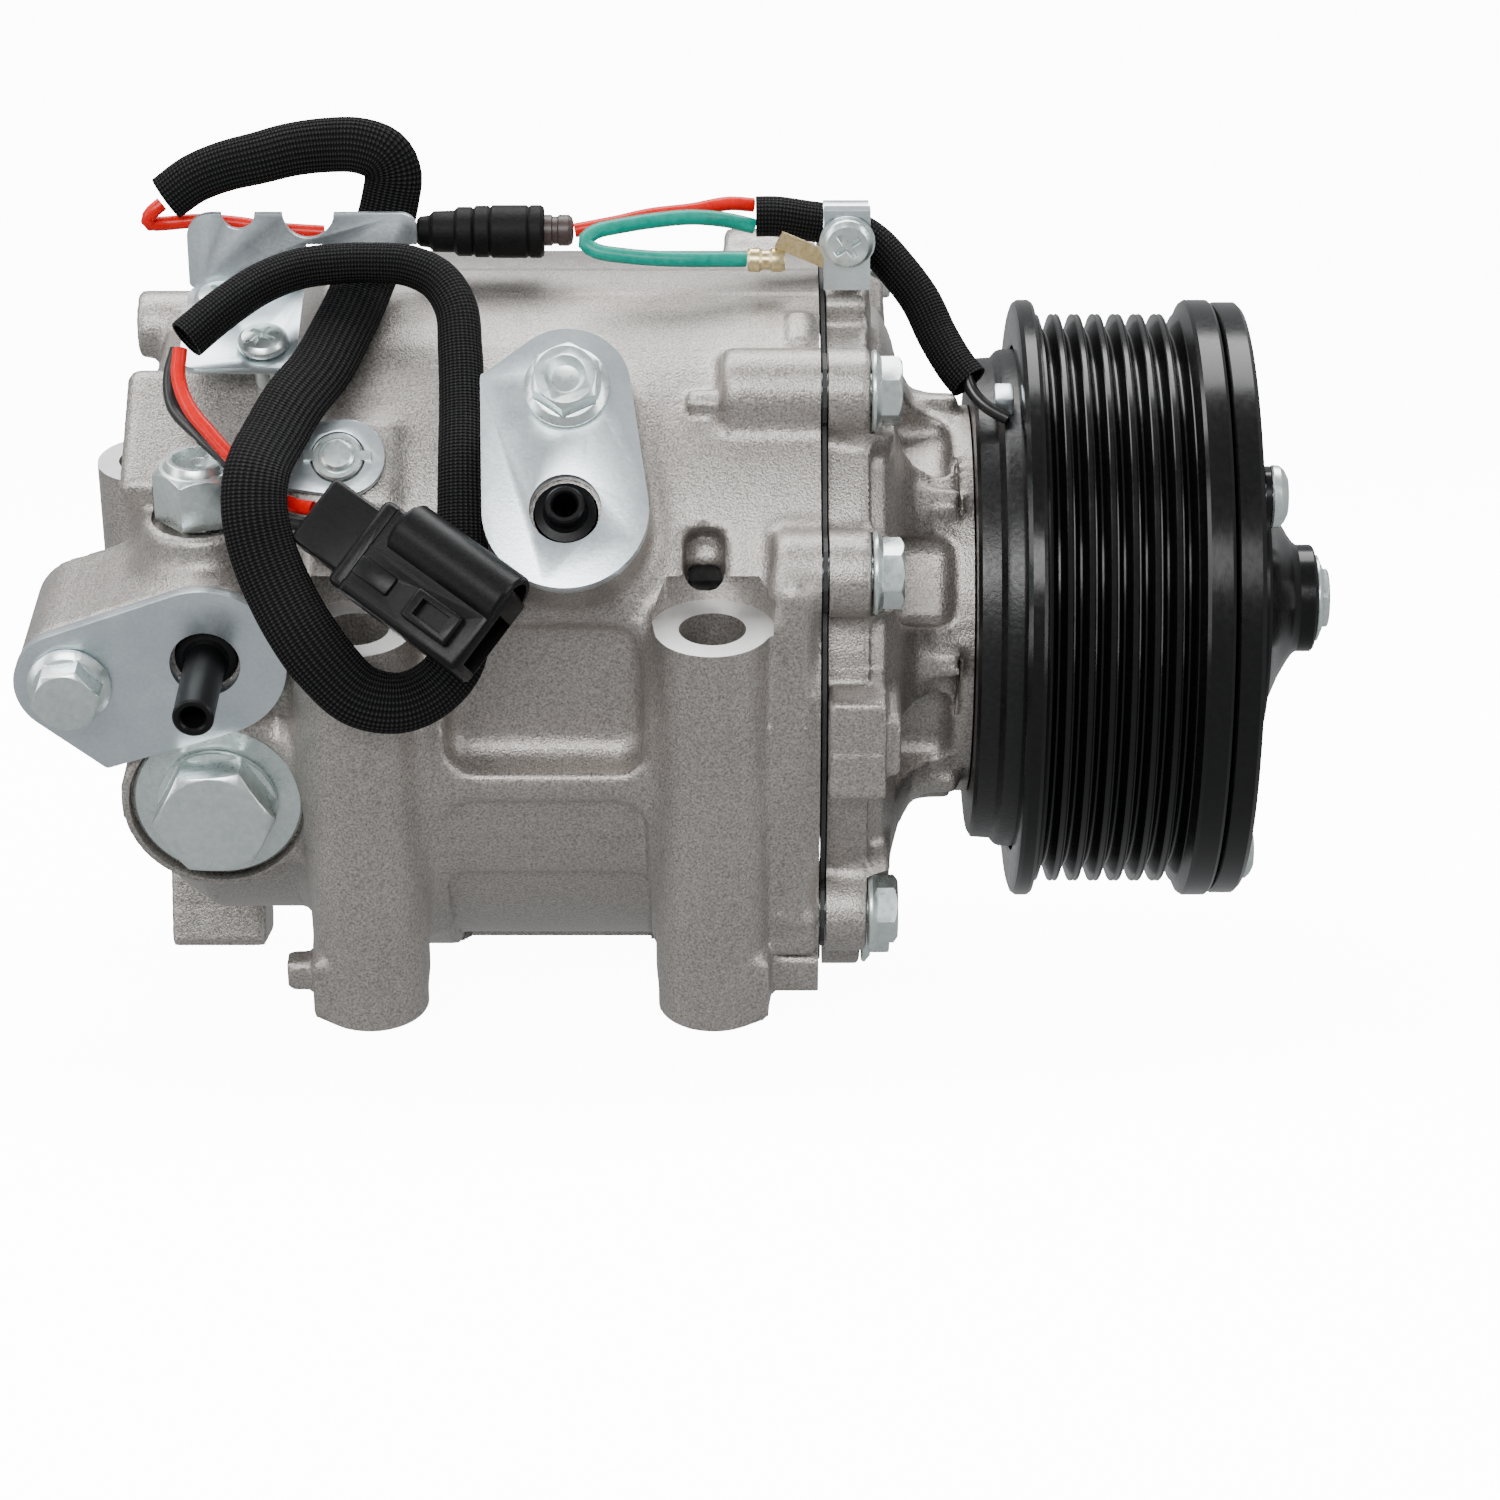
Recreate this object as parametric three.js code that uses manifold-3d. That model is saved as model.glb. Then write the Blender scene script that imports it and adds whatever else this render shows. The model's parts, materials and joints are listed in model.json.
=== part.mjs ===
// Scroll compressor for a car's air conditioning, with a magnetic clutch and a seven-groove pulley.
// Millimetres. The housings are drawn with the shaft on X and the mount bosses on Z, X = 0 at the
// housing joint. The whole is then rolled about the shaft, as it lies on a bench, and set on z = 0.
import * as THREE from "three";
import { mergeVertices } from "three/addons/utils/BufferGeometryUtils.js";
import Module from "manifold-3d";

const wasm = await Module();
wasm.setup();

// Driving dimensions
const gap = 0.3; // between pieces that touch
const rollDeg = 20.5; // how far the bosses lean towards the front as the compressor lies
const bodyR = 60;
const rearR = bodyR - 6.5; // narrower rear end of the housing
const rearX = -112;
const cavityR = 50;
const bossR = 9.3;
const bossHoleR = 5.4;
const bossY = -(bodyR - 2);
const bossTop = 25.2;
const bossBottom = -45.6;
const bossXs = [-74.4, -17.4];
const rearBoss = { x: -121, y: 45, top: 4.6, bottom: -36 };
const lobeR = 6.8;
const boltCircleR = bodyR;
const boltAngles = [62, 31.8, -32, -77, -145, 132]; // from the front (-Y), upwards
const boltLugs = [16, 7.5, 16, 16, 16, 16]; // length of the rear housing's lug behind each bolt
const boltR = 3;
const flangeR = bodyR - 4;
const flangeT = 6.7;
const gasketT = 0.7;
const neckR = 33.5;
const neckEnd = 26;
const noseR = 17.5;
const noseEnd = 58.5;
const shaftR = 6;
const orbitR = 4; // crank throw of the orbiting scroll
const wrapT = 3.2;
const wrapGap = 0.6; // between the flanks of the two spirals
const wrapBaseR = (orbitR + wrapT + wrapGap) / Math.PI; // circle that the spirals unwind from
const wrapStart = 1.1 * Math.PI; // unwinding angle at the inner end
const scrollWallT = 2.8;
const wrapFacets = 16; // even, so that the two spirals' facets lie parallel
const orbitClear = 1; // between the orbiting scroll and the wall round it
const grooveCount = 7;
const groovePitch = 3.56;
const grooveDepth = 2.9;
const grooveTipR = 49.2;
const pulleyFlangeR = 51.6;
const pulleyStart = 33.6;
const rearRim = 3.8; // width of the pulley's rear flange
const frontRim = 5.2;
const rimInnerR = 43.8;
const coilOuterR = 43.1;
const coilInnerR = 31.4;
const bearingOuterR = 27.5;
const bearingW = 20;
const armatureGap = 0.5;
const armatureT = 4.6;
const plateT = 2.4; // shipping plates
const portR = 5.2;
const plateBoltR = 3;
const sheetT = 1.2;
const suction = { bolt: [-120.9, 14.5], port: [-98.9, 18.2], faceY: -(bodyR - 5.7) };
const discharge = { x: -40.5, angle: 46, faceR: bodyR + 9.6, boltAt: 11.5, portAt: -8.7 };
const plug = { x: -98.7, z: -8.8, seatY: -(bodyR - 7.3), headAF: 17.6, headH: 7.6, washerR: 13.9, washerT: 1.3, shankR: 7.6 };
const scroll = { orbitPlate: [-33, -25.5], fixedPlate: [-68, -60], hub: [-25.6, -13.5], bushR: 8.7 };
const reed = { t: 0.5, width: 9, length: 26, z: 6 };
const mainBearing = { innerR: 14, outerR: 26 };
const sealR = noseR - 2.5;
const coilEnd = 59;
const bearingX = 36;
const springAngles = [50, 170, 290];
const springRingR = 19.5;
const outerRivetR = 44.5;
const springT = 0.9;
const clampLug = { y0: -4, y1: 1.2, top: bodyR + 13.8 };
const clampScrewAt = { x: 4.6, z: clampLug.top - 3.8 };
const bracketAngle = 76;
const bracketScrews = [{ x: -98.5, y: 2.5 }, { x: -90.5, y: -8.5 }];
const sheetR = bodyR + 1.4; // distance of the bracket's lower leaf from the shaft
const switchAt = { x: -77.5, angle: 49, r: bodyR + 2.4 };
const sleeveR = 3.4;
const wireR = 1.2;
const relief = { x: -100.3, y: -40.5, z: 36.6, af: 12.6, h: 10.4, seatR: 2.6 };

const rad = THREE.MathUtils.degToRad;
const pulleyEnd = pulleyStart + rearRim + grooveCount * groovePitch + frontRim;
const orbitReach = cavityR - gap - scrollWallT - orbitClear - orbitR;
const wrapTurns = ((orbitReach - wrapT / 2) / wrapBaseR - wrapStart) / (2 * Math.PI);
const armatureX = pulleyEnd + armatureGap;
const hubX = armatureX + armatureT + 1.9; // rear face of the hub's flange, past the leaf springs
const coilBack = neckEnd + gap;
const flangeX = 2 * gap + gasketT;
const headX = flangeX + flangeT + gap;

// Geometry into solids and back
function solid(geometry) {
  const bare = new THREE.BufferGeometry().setAttribute("position", geometry.getAttribute("position"));
  if (geometry.index) bare.setIndex(geometry.index);
  const merged = mergeVertices(bare, 1e-4);
  const tri = new Uint32Array(merged.index.array);
  const build = () =>
    new wasm.Manifold(
      new wasm.Mesh({ numProp: 3, vertProperties: merged.attributes.position.array, triVerts: tri }),
    );
  const made = build();
  if (made.volume() > 0) return made;
  for (let i = 0; i < tri.length; i += 3) [tri[i + 1], tri[i + 2]] = [tri[i + 2], tri[i + 1]];
  return build();
}

function geometryOf(made) {
  const mesh = made.getMesh();
  return new THREE.BufferGeometry()
    .setAttribute("position", new THREE.BufferAttribute(mesh.vertProperties, 3))
    .setIndex(new THREE.BufferAttribute(mesh.triVerts, 1));
}

const join = (first, ...rest) => rest.reduce((all, one) => all.add(one), first);
const cut = (first, ...rest) => rest.reduce((left, one) => left.subtract(one), first);

// Shapes, each returned as a solid
function place(geometry, turn, at) {
  geometry.applyMatrix4(new THREE.Matrix4().makeRotationFromEuler(new THREE.Euler(...turn, "XYZ")));
  return solid(geometry.translate(...at));
}

const box = (x, y, z, at, turn = [0, 0, 0]) => place(new THREE.BoxGeometry(x, y, z), turn, at);

// A block between two X stations, its middle at an angle round the shaft
function radialBlock(x0, x1, r0, r1, width, angle) {
  const block = new THREE.BoxGeometry(x1 - x0, width, r1 - r0).translate((x0 + x1) / 2, 0, (r0 + r1) / 2);
  return place(block, [rad(90 - angle), 0, 0], [0, 0, 0]);
}

// Turned on the shaft axis from [radius, x] points; a closed ring when the points leave the axis
function turned(points, sides = 24) {
  const onAxis = points[0][0] === 0 && points.at(-1)[0] === 0;
  const loop = onAxis ? points : [...points, points[0]];
  const lathe = new THREE.LatheGeometry(loop.map(([r, x]) => new THREE.Vector2(r, x)), sides);
  return solid(lathe.rotateZ(-Math.PI / 2));
}

const ring = (inner, outer, x0, x1, sides = 24) =>
  turned([[inner, x0], [outer, x0], [outer, x1], [inner, x1]], sides);
const disc = (r, x0, x1, sides = 24) => turned([[0, x0], [r, x0], [r, x1], [0, x1]], sides);

// Round bars along X, Y and Z
const barX = (r, x0, x1, y, z, sides = 12) => disc(r, x0, x1, sides).translate([0, y, z]);
const barY = (r, y0, y1, x, z, sides = 14) => solid(
  new THREE.CylinderGeometry(r, r, y1 - y0, sides).translate(x, (y0 + y1) / 2, z));
const barZ = (r, z0, z1, x, y, sides = 14) => solid(
  new THREE.CylinderGeometry(r, r, z1 - z0, sides).rotateX(Math.PI / 2).translate(x, y, (z0 + z1) / 2));

// Moves something drawn along X at the shaft out to the bolt circle
function atAngle(made, r, angle) {
  return made.translate([0, -r * Math.cos(rad(angle)), r * Math.sin(rad(angle))]);
}

// A hexagon-headed flange bolt along X, its head's seat at x, pointing forward
function flangeBolt(x, shank, af = 10) {
  const headR = af / 2 / Math.cos(Math.PI / 6);
  return join(disc(af * 0.66, x, x + 1.3, 12), disc(headR, x + 1.2, x + 4.6, 6), disc(boltR, x - shank, x + 0.1, 8));
}

// An outline in a plane as an extruded solid, its face at z = 0 and its thickness behind it
function prism(shape, thickness, curveSegments = 6) {
  return solid(new THREE.ExtrudeGeometry(shape, { depth: thickness, bevelEnabled: false, curveSegments })
    .translate(0, 0, -thickness));
}

// The convex outline round two circles [x, y, r]
function strap([ax, ay, ar], [bx, by, br]) {
  const along = Math.atan2(by - ay, bx - ax);
  const lean = Math.acos((ar - br) / Math.hypot(bx - ax, by - ay));
  const shape = new THREE.Shape();
  shape.absarc(ax, ay, ar, along + lean, along - lean + 2 * Math.PI, false);
  shape.absarc(bx, by, br, along - lean, along + lean, false);
  shape.closePath();
  return shape;
}

// Lays a solid drawn on XY, facing +Z, against the front (-Y) or the sloping discharge pad
const onFront = (made, y) => made.rotate([90, 0, 0]).translate([0, y, 0]);
function onPad(made, r) {
  const a = rad(discharge.angle);
  return made.rotate([90 - discharge.angle, 0, 0])
    .translate([discharge.x, -r * Math.cos(a), r * Math.sin(a)]);
}

// Materials
const paint = (color, roughness, metalness) => new THREE.MeshStandardMaterial({ color, roughness, metalness });
const castAluminium = paint(0xb4aea8, 0.55, 0.7);
const steel = paint(0x9a9c9e, 0.35, 0.9);
const zinc = paint(0xc6d2d2, 0.35, 0.9);
const blackPaint = paint(0x121213, 0.25, 0.2);
const blackPlastic = paint(0x17171a, 0.5, 0);
const rubber = paint(0x1c1b1b, 0.8, 0);
const copper = paint(0xa86238, 0.4, 0.8);
const brass = paint(0xc9a35a, 0.35, 0.9);
const braid = paint(0x1a1a1a, 0.85, 0);
const redWire = paint(0xd8201c, 0.4, 0);
const greenWire = paint(0x1d9a80, 0.4, 0);
const blackWire = paint(0x161616, 0.45, 0);
const brownPlastic = paint(0x3a2622, 0.5, 0);
const gasketGrey = paint(0x2b2b2c, 0.8, 0.1);

const compressor = new THREE.Group();
const cordNames = new Set();
function add(name, made, material) {
  const mesh = new THREE.Mesh(geometryOf(made), material);
  mesh.name = name;
  compressor.add(mesh);
}

// The outlines of the two port pads, as the discs [x, y, r] that a band would go round
const suctionPad = [[...suction.bolt, 8.9], [...suction.port, 12.9]];
const dischargePad = [[0, discharge.boltAt, 10], [0, discharge.portAt, 13]];
const suctionCorner = [-115.8, 0, 0.8];
const dischargeCorner = [-12.8, 13.2, 0.8];
const banded = (discs, thickness, grow = 0) => wasm.Manifold.hull(
  discs.map(([x, y, r]) => barZ(r + grow, -thickness, 0, x, y, 32)));

function mountBoss(x, y, top, bottom) {
  return barZ(bossR, bottom, top, x, y, 16);
}

function rearHousing() {
  const shell = turned([
    [0, rearX], [42, rearX], [49, rearX + 2.5], [rearR, rearX + 9], [rearR, -88], [bodyR, -82], [bodyR, 0], [0, 0],
  ], 40);
  const web = (x) => box(2 * bossR - 2, 30, bossTop - bossBottom - 8, [x, bossY + 15, (bossTop + bossBottom) / 2]);
  const pads = boltAngles.map((angle, i) => atAngle(disc(lobeR, -boltLugs[i], 0, 14), boltCircleR, angle));
  const footRow = box(17, 15, 30, [-107.5, 28, -51.3]).rotate([-rollDeg, 0, 0]);
  const raised = join(
    shell,
    ...bossXs.map((x) => mountBoss(x, bossY, bossTop, bossBottom)),
    ...bossXs.map(web),
    mountBoss(rearBoss.x, rearBoss.y, rearBoss.top, rearBoss.bottom),
    box(24, 16, rearBoss.top - rearBoss.bottom - 6, [-108, 40, (rearBoss.top + rearBoss.bottom) / 2]),
    ...pads,
    onFront(banded(suctionPad, 26), suction.faceY),
    onPad(banded(dischargePad, 20, -gap), discharge.faceR),
    barY(plug.washerR + 2, suction.faceY, -30, plug.x, plug.z, 32),
    barZ(9, 10, relief.z, relief.x, relief.y),
    radialBlock(-113.5, -88, 40, rearR + 2, 24, 58),
    barX(5.7, -115.3, -98, 10, 47.5),
    footRow,
    ...bracketScrews.map(({ x, y }) => onTop(box(9, 8, 12, [x, y, sheetR - gap - 6]))),
    radialBlock(switchAt.x - 9, switchAt.x + 9, bodyR - 10, switchAt.r - 1.5, 15, switchAt.angle),
    box(8.5, 12, 62, [-6.5, bossY + 4, -10]),
  );
  const boltHole = (angle) => atAngle(barX(boltR + gap, -14, 1, 0, 0, 8), boltCircleR, angle);
  return cut(
    raised,
    turned([[0, -104], [38, -104], [38, -76], [cavityR, -76], [cavityR, 1], [0, 1]], 30),
    ...bossXs.map((x) => barZ(bossHoleR, bossBottom - 1, bossTop + 1, x, bossY)),
    barZ(bossHoleR, rearBoss.bottom - 1, rearBoss.top + 1, rearBoss.x, rearBoss.y),
    ...boltAngles.map(boltHole),
    barY(portR, suction.faceY - 1, -25, ...suction.port),
    barY(plateBoltR + gap, suction.faceY - 1, suction.faceY + 14, ...suction.bolt, 12),
    onPad(join(barZ(portR, -28, 1, 0, discharge.portAt), barZ(plateBoltR + gap, -15, 1, 0, discharge.boltAt, 12)),
      discharge.faceR),
    barY(plug.shankR + gap, suction.faceY - 1, -28, plug.x, plug.z),
    barZ(4.6, 8, relief.z + 1, relief.x, relief.y, 16),
    barZ(9, relief.z, 70, relief.x, relief.y),
    barY(plug.washerR + 0.6, plug.seatY - 20, plug.seatY, plug.x, plug.z, 32),
    ...bracketScrews.map(({ x, y }) => onTop(barZ(1.8 + gap, sheetR - 8.4, sheetR + 1.6, x, y, 12))),
    radialBlock(switchAt.x - 3.1, switchAt.x + 3.1, bodyR - 20, bodyR + 2, 6.2, switchAt.angle),
    box(30, 12, 25, [-43.9, bossY - 7, 12]),
    box(30, 12, 12, [-43.9, bossY - 6.5, -16]),
  );
}

function frontHousing() {
  const lobes = boltAngles.map((angle) => atAngle(disc(lobeR, flangeX, flangeX + flangeT, 14), boltCircleR, angle));
  const ribs = [...Array(8).keys()].map((i) => radialBlock(flangeX + 3, neckEnd - 2, 20, neckR + 2.2, 4, 45 * i + 10));
  const body = join(
    disc(flangeR, flangeX, flangeX + flangeT, 36),
    turned([
      [0, flangeX + 2], [52, flangeX + 2], [50, 10.5], [40, 13.5], [neckR + 1, 17], [neckR, 20], [neckR, neckEnd],
      [noseR, neckEnd], [noseR, noseEnd - 1], [noseR - 1, noseEnd], [0, noseEnd],
    ], 30),
    ...lobes,
    ...ribs,
    box(6.7, clampLug.y1 - clampLug.y0, clampLug.top - 45,
      [flangeX + 3.35, (clampLug.y0 + clampLug.y1) / 2, (clampLug.top + 45) / 2]),
    radialBlock(flangeX, 11, 48, bodyR + 3, 17, 5),
  );
  return cut(
    body,
    turned([[0, -1], [46, -1], [46, 5], [34, 5], [34, 7], [mainBearing.outerR + gap, 7],
      [mainBearing.outerR + gap, 18.5], [sealR + gap, 18.5], [sealR + gap, 30], [shaftR + 3, 30],
      [shaftR + 3, noseEnd + 1], [0, noseEnd + 1]], 24),
    ...boltAngles.map((angle) => atAngle(barX(boltR + gap, 0, 12, 0, 0, 8), boltCircleR, angle)),
    ...boltAngles.map((angle) => atAngle(barX(7.2, headX - gap, 24, 0, 0, 14), boltCircleR, angle)),
    barY(boltR, clampLug.y0 - 1, clampLug.y0 + 5, clampScrewAt.x, clampScrewAt.z, 12),
  );
}

const onTop = (made) => made.rotate([90 - bracketAngle, 0, 0]);

function gasket() {
  const lobes = boltAngles.map((angle) => atAngle(disc(lobeR - 0.6, gap, gap + gasketT, 12), boltCircleR, angle));
  return cut(
    join(disc(bodyR - 1.5, gap, gap + gasketT, 32), ...lobes),
    disc(cavityR + 1, 0, 2, 32),
    ...boltAngles.map((angle) => atAngle(barX(boltR + gap, 0, 2, 0, 0, 8), boltCircleR, angle)),
  );
}

// A spiral wall: thickness wrapT round the involute of the base circle, turned by phase
function spiral(x0, x1, phase, turns) {
  const steps = Math.floor(turns * wrapFacets);
  const point = (t, shift) => new THREE.Vector2(
    wrapBaseR * (Math.cos(t + phase) + (t + shift) * Math.sin(t + phase)),
    wrapBaseR * (Math.sin(t + phase) - (t + shift) * Math.cos(t + phase)),
  );
  const half = wrapT / 2 / wrapBaseR;
  const ts = [...Array(steps + 1).keys()].map((i) => wrapStart + (i * 2 * Math.PI) / wrapFacets);
  const outline = [...ts.map((t) => point(t, half)), ...ts.reverse().map((t) => point(t, -half))];
  return prism(new THREE.Shape(outline), x1 - x0).rotate([0, 90, 0]).translate([x1, 0, 0]);
}


function fixedScroll() {
  return cut(
    join(
      disc(cavityR - gap, scroll.fixedPlate[0], scroll.fixedPlate[1], 28),
      ring(cavityR - gap - scrollWallT, cavityR - gap, scroll.fixedPlate[1] - 1, -26.5, 28),
      spiral(scroll.fixedPlate[1] - 1, scroll.orbitPlate[0] - gap, 0, wrapTurns + 0.15),
    ),
    disc(4, -70, -59, 16),
  );
}

function orbitingScroll() {
  return join(
    disc(orbitReach, ...scroll.orbitPlate, 28),
    ring(scroll.bushR + 3.1, scroll.bushR + 6.3, ...scroll.hub, 28),
    spiral(scroll.fixedPlate[1] + gap, scroll.orbitPlate[0] + 0.5, Math.PI, wrapTurns),
  ).translate([0, 0, orbitR]);
}

function crankshaft() {
  return join(
    disc(shaftR, 17, 80.5, 16),
    disc(mainBearing.innerR - gap, 1, 18, 24),
    disc(19, -8, 1.2, 32),
    barX(5, -24.5, -7, 0, orbitR, 16),
  );
}

function counterweightBush() {
  const bush = barX(scroll.bushR - gap, -24.5, -10.5, 0, orbitR, 24);
  const weight = cut(disc(33, -13, -8.6, 32), box(10, 80, 66, [-11, 0, 20]));
  return cut(join(bush, weight, box(4.4, 18, 26, [-10.8, 0, -6])), barX(5 + gap, -26, -7, 0, orbitR, 16));
}

function pulley() {
  const points = [[rimInnerR, pulleyStart], [pulleyFlangeR - 0.8, pulleyStart], [pulleyFlangeR, pulleyStart + 0.8],
    [pulleyFlangeR, pulleyStart + rearRim - 0.8]];
  const first = pulleyStart + rearRim;
  for (let i = 0; i < grooveCount; i++) {
    const x = first + i * groovePitch;
    points.push([grooveTipR, x + 0.35], [grooveTipR - grooveDepth, x + groovePitch / 2],
      [grooveTipR, x + groovePitch - 0.35]);
  }
  points.push([pulleyFlangeR, pulleyEnd - frontRim + 0.8], [pulleyFlangeR, pulleyEnd - 0.8],
    [pulleyFlangeR - 0.8, pulleyEnd], [bearingOuterR + 0.1, pulleyEnd], [bearingOuterR + 0.1, bearingX - 1],
    [bearingOuterR + 2.9, bearingX - 1], [bearingOuterR + 2.9, coilEnd + 1.2], [rimInnerR, coilEnd + 1.2]);
  return turned(points, 34);
}


function coilHousing() {
  return cut(
    turned([
      [noseR + gap, coilBack], [coilOuterR - 1.5, coilBack], [coilOuterR - 1.5, 30], [coilOuterR, 31.5],
      [coilOuterR, coilEnd], [coilOuterR - 2.2, coilEnd], [coilOuterR - 2.2, 34], [coilInnerR + 2.2, 34],
      [coilInnerR + 2.2, coilEnd], [coilInnerR, coilEnd], [coilInnerR, 29.2], [noseR + gap, 29.2],
    ], 30),
    barX(1.9, 20, 36, 0, 37.2, 12),
  );
}

// The leaf springs as one stamping: a ring on the hub and an arm out to each rivet in the armature
function springPlate() {
  const x0 = armatureX + armatureT + gap;
  const arm = (angle) => prism(strap([springRingR, 0, 4.2], [outerRivetR, 0, 5]), springT)
    .rotate([0, 90, 0]).rotate([-90 - angle, 0, 0]).translate([x0 + springT, 0, 0]);
  return cut(
    join(disc(springRingR + 4.5, x0, x0 + springT, 24), ...springAngles.map(arm)),
    disc(springRingR - 4, x0 - 1, x0 + 2, 20),
    ...springAngles.map((angle) => atAngle(barX(2.2 + gap, x0 - 1, x0 + 2, 0, 0, 12), outerRivetR, angle)),
  );
}

function rivet(angle) {
  const x0 = armatureX + armatureT + 2 * gap + springT;
  const shape = turned([[0, armatureX + 1], [2.2, armatureX + 1], [2.2, x0], [5.2, x0], [5.2, x0 + 2], [3.6, x0 + 3.2],
    [0, x0 + 3.2]], 16);
  return atAngle(shape, outerRivetR, angle);
}

function armaturePlate() {
  return cut(
    ring(springRingR + 6, pulleyFlangeR - 0.4, armatureX, armatureX + armatureT, 36),
    ...springAngles.map((angle) => atAngle(barX(2.2 + gap, armatureX - 1, armatureX + 6, 0, 0, 12), outerRivetR, angle)),
  );
}

function clutchHub() {
  const front = hubX + 2.2;
  return cut(
    turned([[0, hubX], [25, hubX], [25, front - 0.4], [19, front], [12, front + 4], [9.3, front + 6.2],
      [9.3, front + 9.5], [0, front + 9.5]], 28),
    disc(shaftR + 0.4, hubX - 1, 80.8, 16),
    disc(boltR + gap, 70, 95, 12),
    disc(7.6, front + 8, front + 12, 24),
  );
}

function hubBolt() {
  const seat = hubX + 2.2 + 8 + gap;
  return join(disc(7.2, seat, seat + 1.4, 24), disc(5.8, seat + 1.2, seat + 3, 6), disc(boltR, 81, seat + 0.2, 12));
}

// The plates on the two ports, drawn on XY and facing +Z
function shippingPlate(discs, bolt, port) {
  return cut(
    banded(discs, plateT, 0.2),
    barZ(plateBoltR + gap, -5, 5, ...bolt, 16),
    barZ(portR + 0.5, -5, 5, ...port),
  );
}

function plateBolt(at, dished) {
  const head = join(barZ(6.6, gap, 1.6, ...at, 20), barZ(5.8, 1.5, 6, ...at, 6), barZ(plateBoltR, -14, gap + 0.1, ...at, 12));
  return dished ? cut(head, barZ(3.6, 4.6, 8, ...at, 16)) : head;
}

// A black cap: a seat in the port's bore, and a tube that stands out of it
function portCap(at, tubeR, holeR, height) {
  return cut(
    join(barZ(portR - gap, -12, plateT * 0.4, ...at), barZ(tubeR, 0, height, ...at)),
    barZ(holeR, -10, height + 1, ...at, 16),
  );
}

// Folded sheet: a lower leaf screwed to the housing and a leaf that stands up behind the sleeve
function bracket() {
  const leafY = 8.254 - sheetR * Math.sin(rad(90 - bracketAngle)); // on the lower leaf's front part
  const lower = onTop(box(19, 22, sheetT, [-94.5, -3, sheetR + sheetT / 2]));
  const standing = box(38, sheetT, 13, [-85, leafY, sheetR + 7], [rad(-4), 0, 0]);
  return cut(
    join(lower, standing),
    box(20, 8, 12, [-74.5, leafY + 0.6, sheetR + 2.2]),
    box(5.5, 8, 5, [-95.5, leafY + 0.6, sheetR + 13.6]),
    box(8.5, 8, 6, [-84, leafY + 0.6, sheetR + 13.6]),
    ...bracketScrews.map(({ x, y }) => onTop(barZ(1.8 + gap, sheetR - 6.4, sheetR + 8.6, x, y, 12))),
  );
}

const bracketScrew = ({ x, y }) => onTop(join(
  barZ(4.2, sheetR + sheetT + gap, sheetR + sheetT + 2.6, x, y, 16),
  barZ(1.8, sheetR - 7.4, sheetR + sheetT + 0.5, x, y, 10)));

function switchRetainer() {
  const plate = cut(prism(strap([-7.5, 0, 5], [4, 0, 6.6]), sheetT), barZ(4.4, -3, 3, 3, 0));
  return plate.rotate([90 - switchAt.angle, 0, 0])
    .translate([switchAt.x - 3, -switchAt.r * Math.cos(rad(switchAt.angle)),
      switchAt.r * Math.sin(rad(switchAt.angle))]);
}

function thermalSwitch() {
  const barrel = join(disc(2.7, bodyR - 10, bodyR + 2, 16), disc(4, switchAt.r - 1.1, switchAt.r + 2, 20));
  return barrel.rotate([0, -90, 0]).rotate([90 - switchAt.angle, 0, 0])
    .translate([switchAt.x, 0, 0]);
}

function leadClamp() {
  return cut(
    join(
      box(7.6, sheetT, 14, [clampScrewAt.x, -6, clampLug.top - 5.6]),
      box(7.6, 18, sheetT, [clampScrewAt.x, 2.4, clampLug.top + 1]),
      box(7.6, sheetT, 13, [clampScrewAt.x, 10.8, clampLug.top - 4.8]),
    ),
    barY(boltR, -9, -3, clampScrewAt.x, clampScrewAt.z, 12),
  );
}

function clampScrew() {
  const { x, z } = clampScrewAt;
  return join(barY(4.3, -9.3, -6.9, x, z, 18), barY(boltR - gap, -7, 0.2, x, z, 12));
}

function groundTerminal() {
  const eye = cut(barY(3.9, -5.1, -4.3, clampScrewAt.x, clampScrewAt.z, 20), barY(boltR, -6, -3, clampScrewAt.x,
    clampScrewAt.z, 12));
  const tongue = box(8.6, 0.8, 3, [-2.6, -4.7, clampScrewAt.z - 2.4], [0, rad(-24), 0]);
  return join(eye, tongue, barX(1.9, -11.8, -5.6, -4.7, clampScrewAt.z - 4.2, 12));
}

function reliefBody() {
  const headR = relief.af / 2 / Math.cos(Math.PI / 6);
  const { x, y, z, h } = relief;
  return cut(
    join(barZ(headR, z + gap, z + gap + h - 1, x, y, 6), barZ(5.4, z + h - 1, z + gap + h, x, y, 20),
      barZ(4.3, 12, z + 0.4, x, y, 16)),
    barZ(2.9, 16, z + h + 1, x, y, 16),
    barZ(1.4, 10, 17, x, y, 12),
  );
}

function helix(r, wireR, z0, z1, turns, x, y) {
  const points = [...Array(turns * 10 + 1).keys()].map((i) => {
    const a = (2 * Math.PI * i) / 10;
    return new THREE.Vector3(x + r * Math.cos(a), y + r * Math.sin(a), z0 + ((z1 - z0) * i) / (turns * 10));
  });
  return tube(points, wireR, turns * 8, 4);
}

// A bar of round or flat section along a smooth curve
function tube(points, r, steps, sides = 8, flat = 1) {
  const section = new THREE.Shape();
  for (let i = 0; i < sides; i++) {
    const a = (2 * Math.PI * (i + 0.5)) / sides;
    section[i ? "lineTo" : "moveTo"](r * Math.cos(a), flat * r * Math.sin(a));
  }
  const curve = new THREE.CatmullRomCurve3(points);
  return solid(new THREE.ExtrudeGeometry(section, { steps, bevelEnabled: false, extrudePath: curve }));
}

function cord(name, route, r, steps, material, sides = 8) {
  add(name, tube(route.map((p) => new THREE.Vector3(...p)), r, steps, sides), material);
  cordNames.add(name);
}

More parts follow.
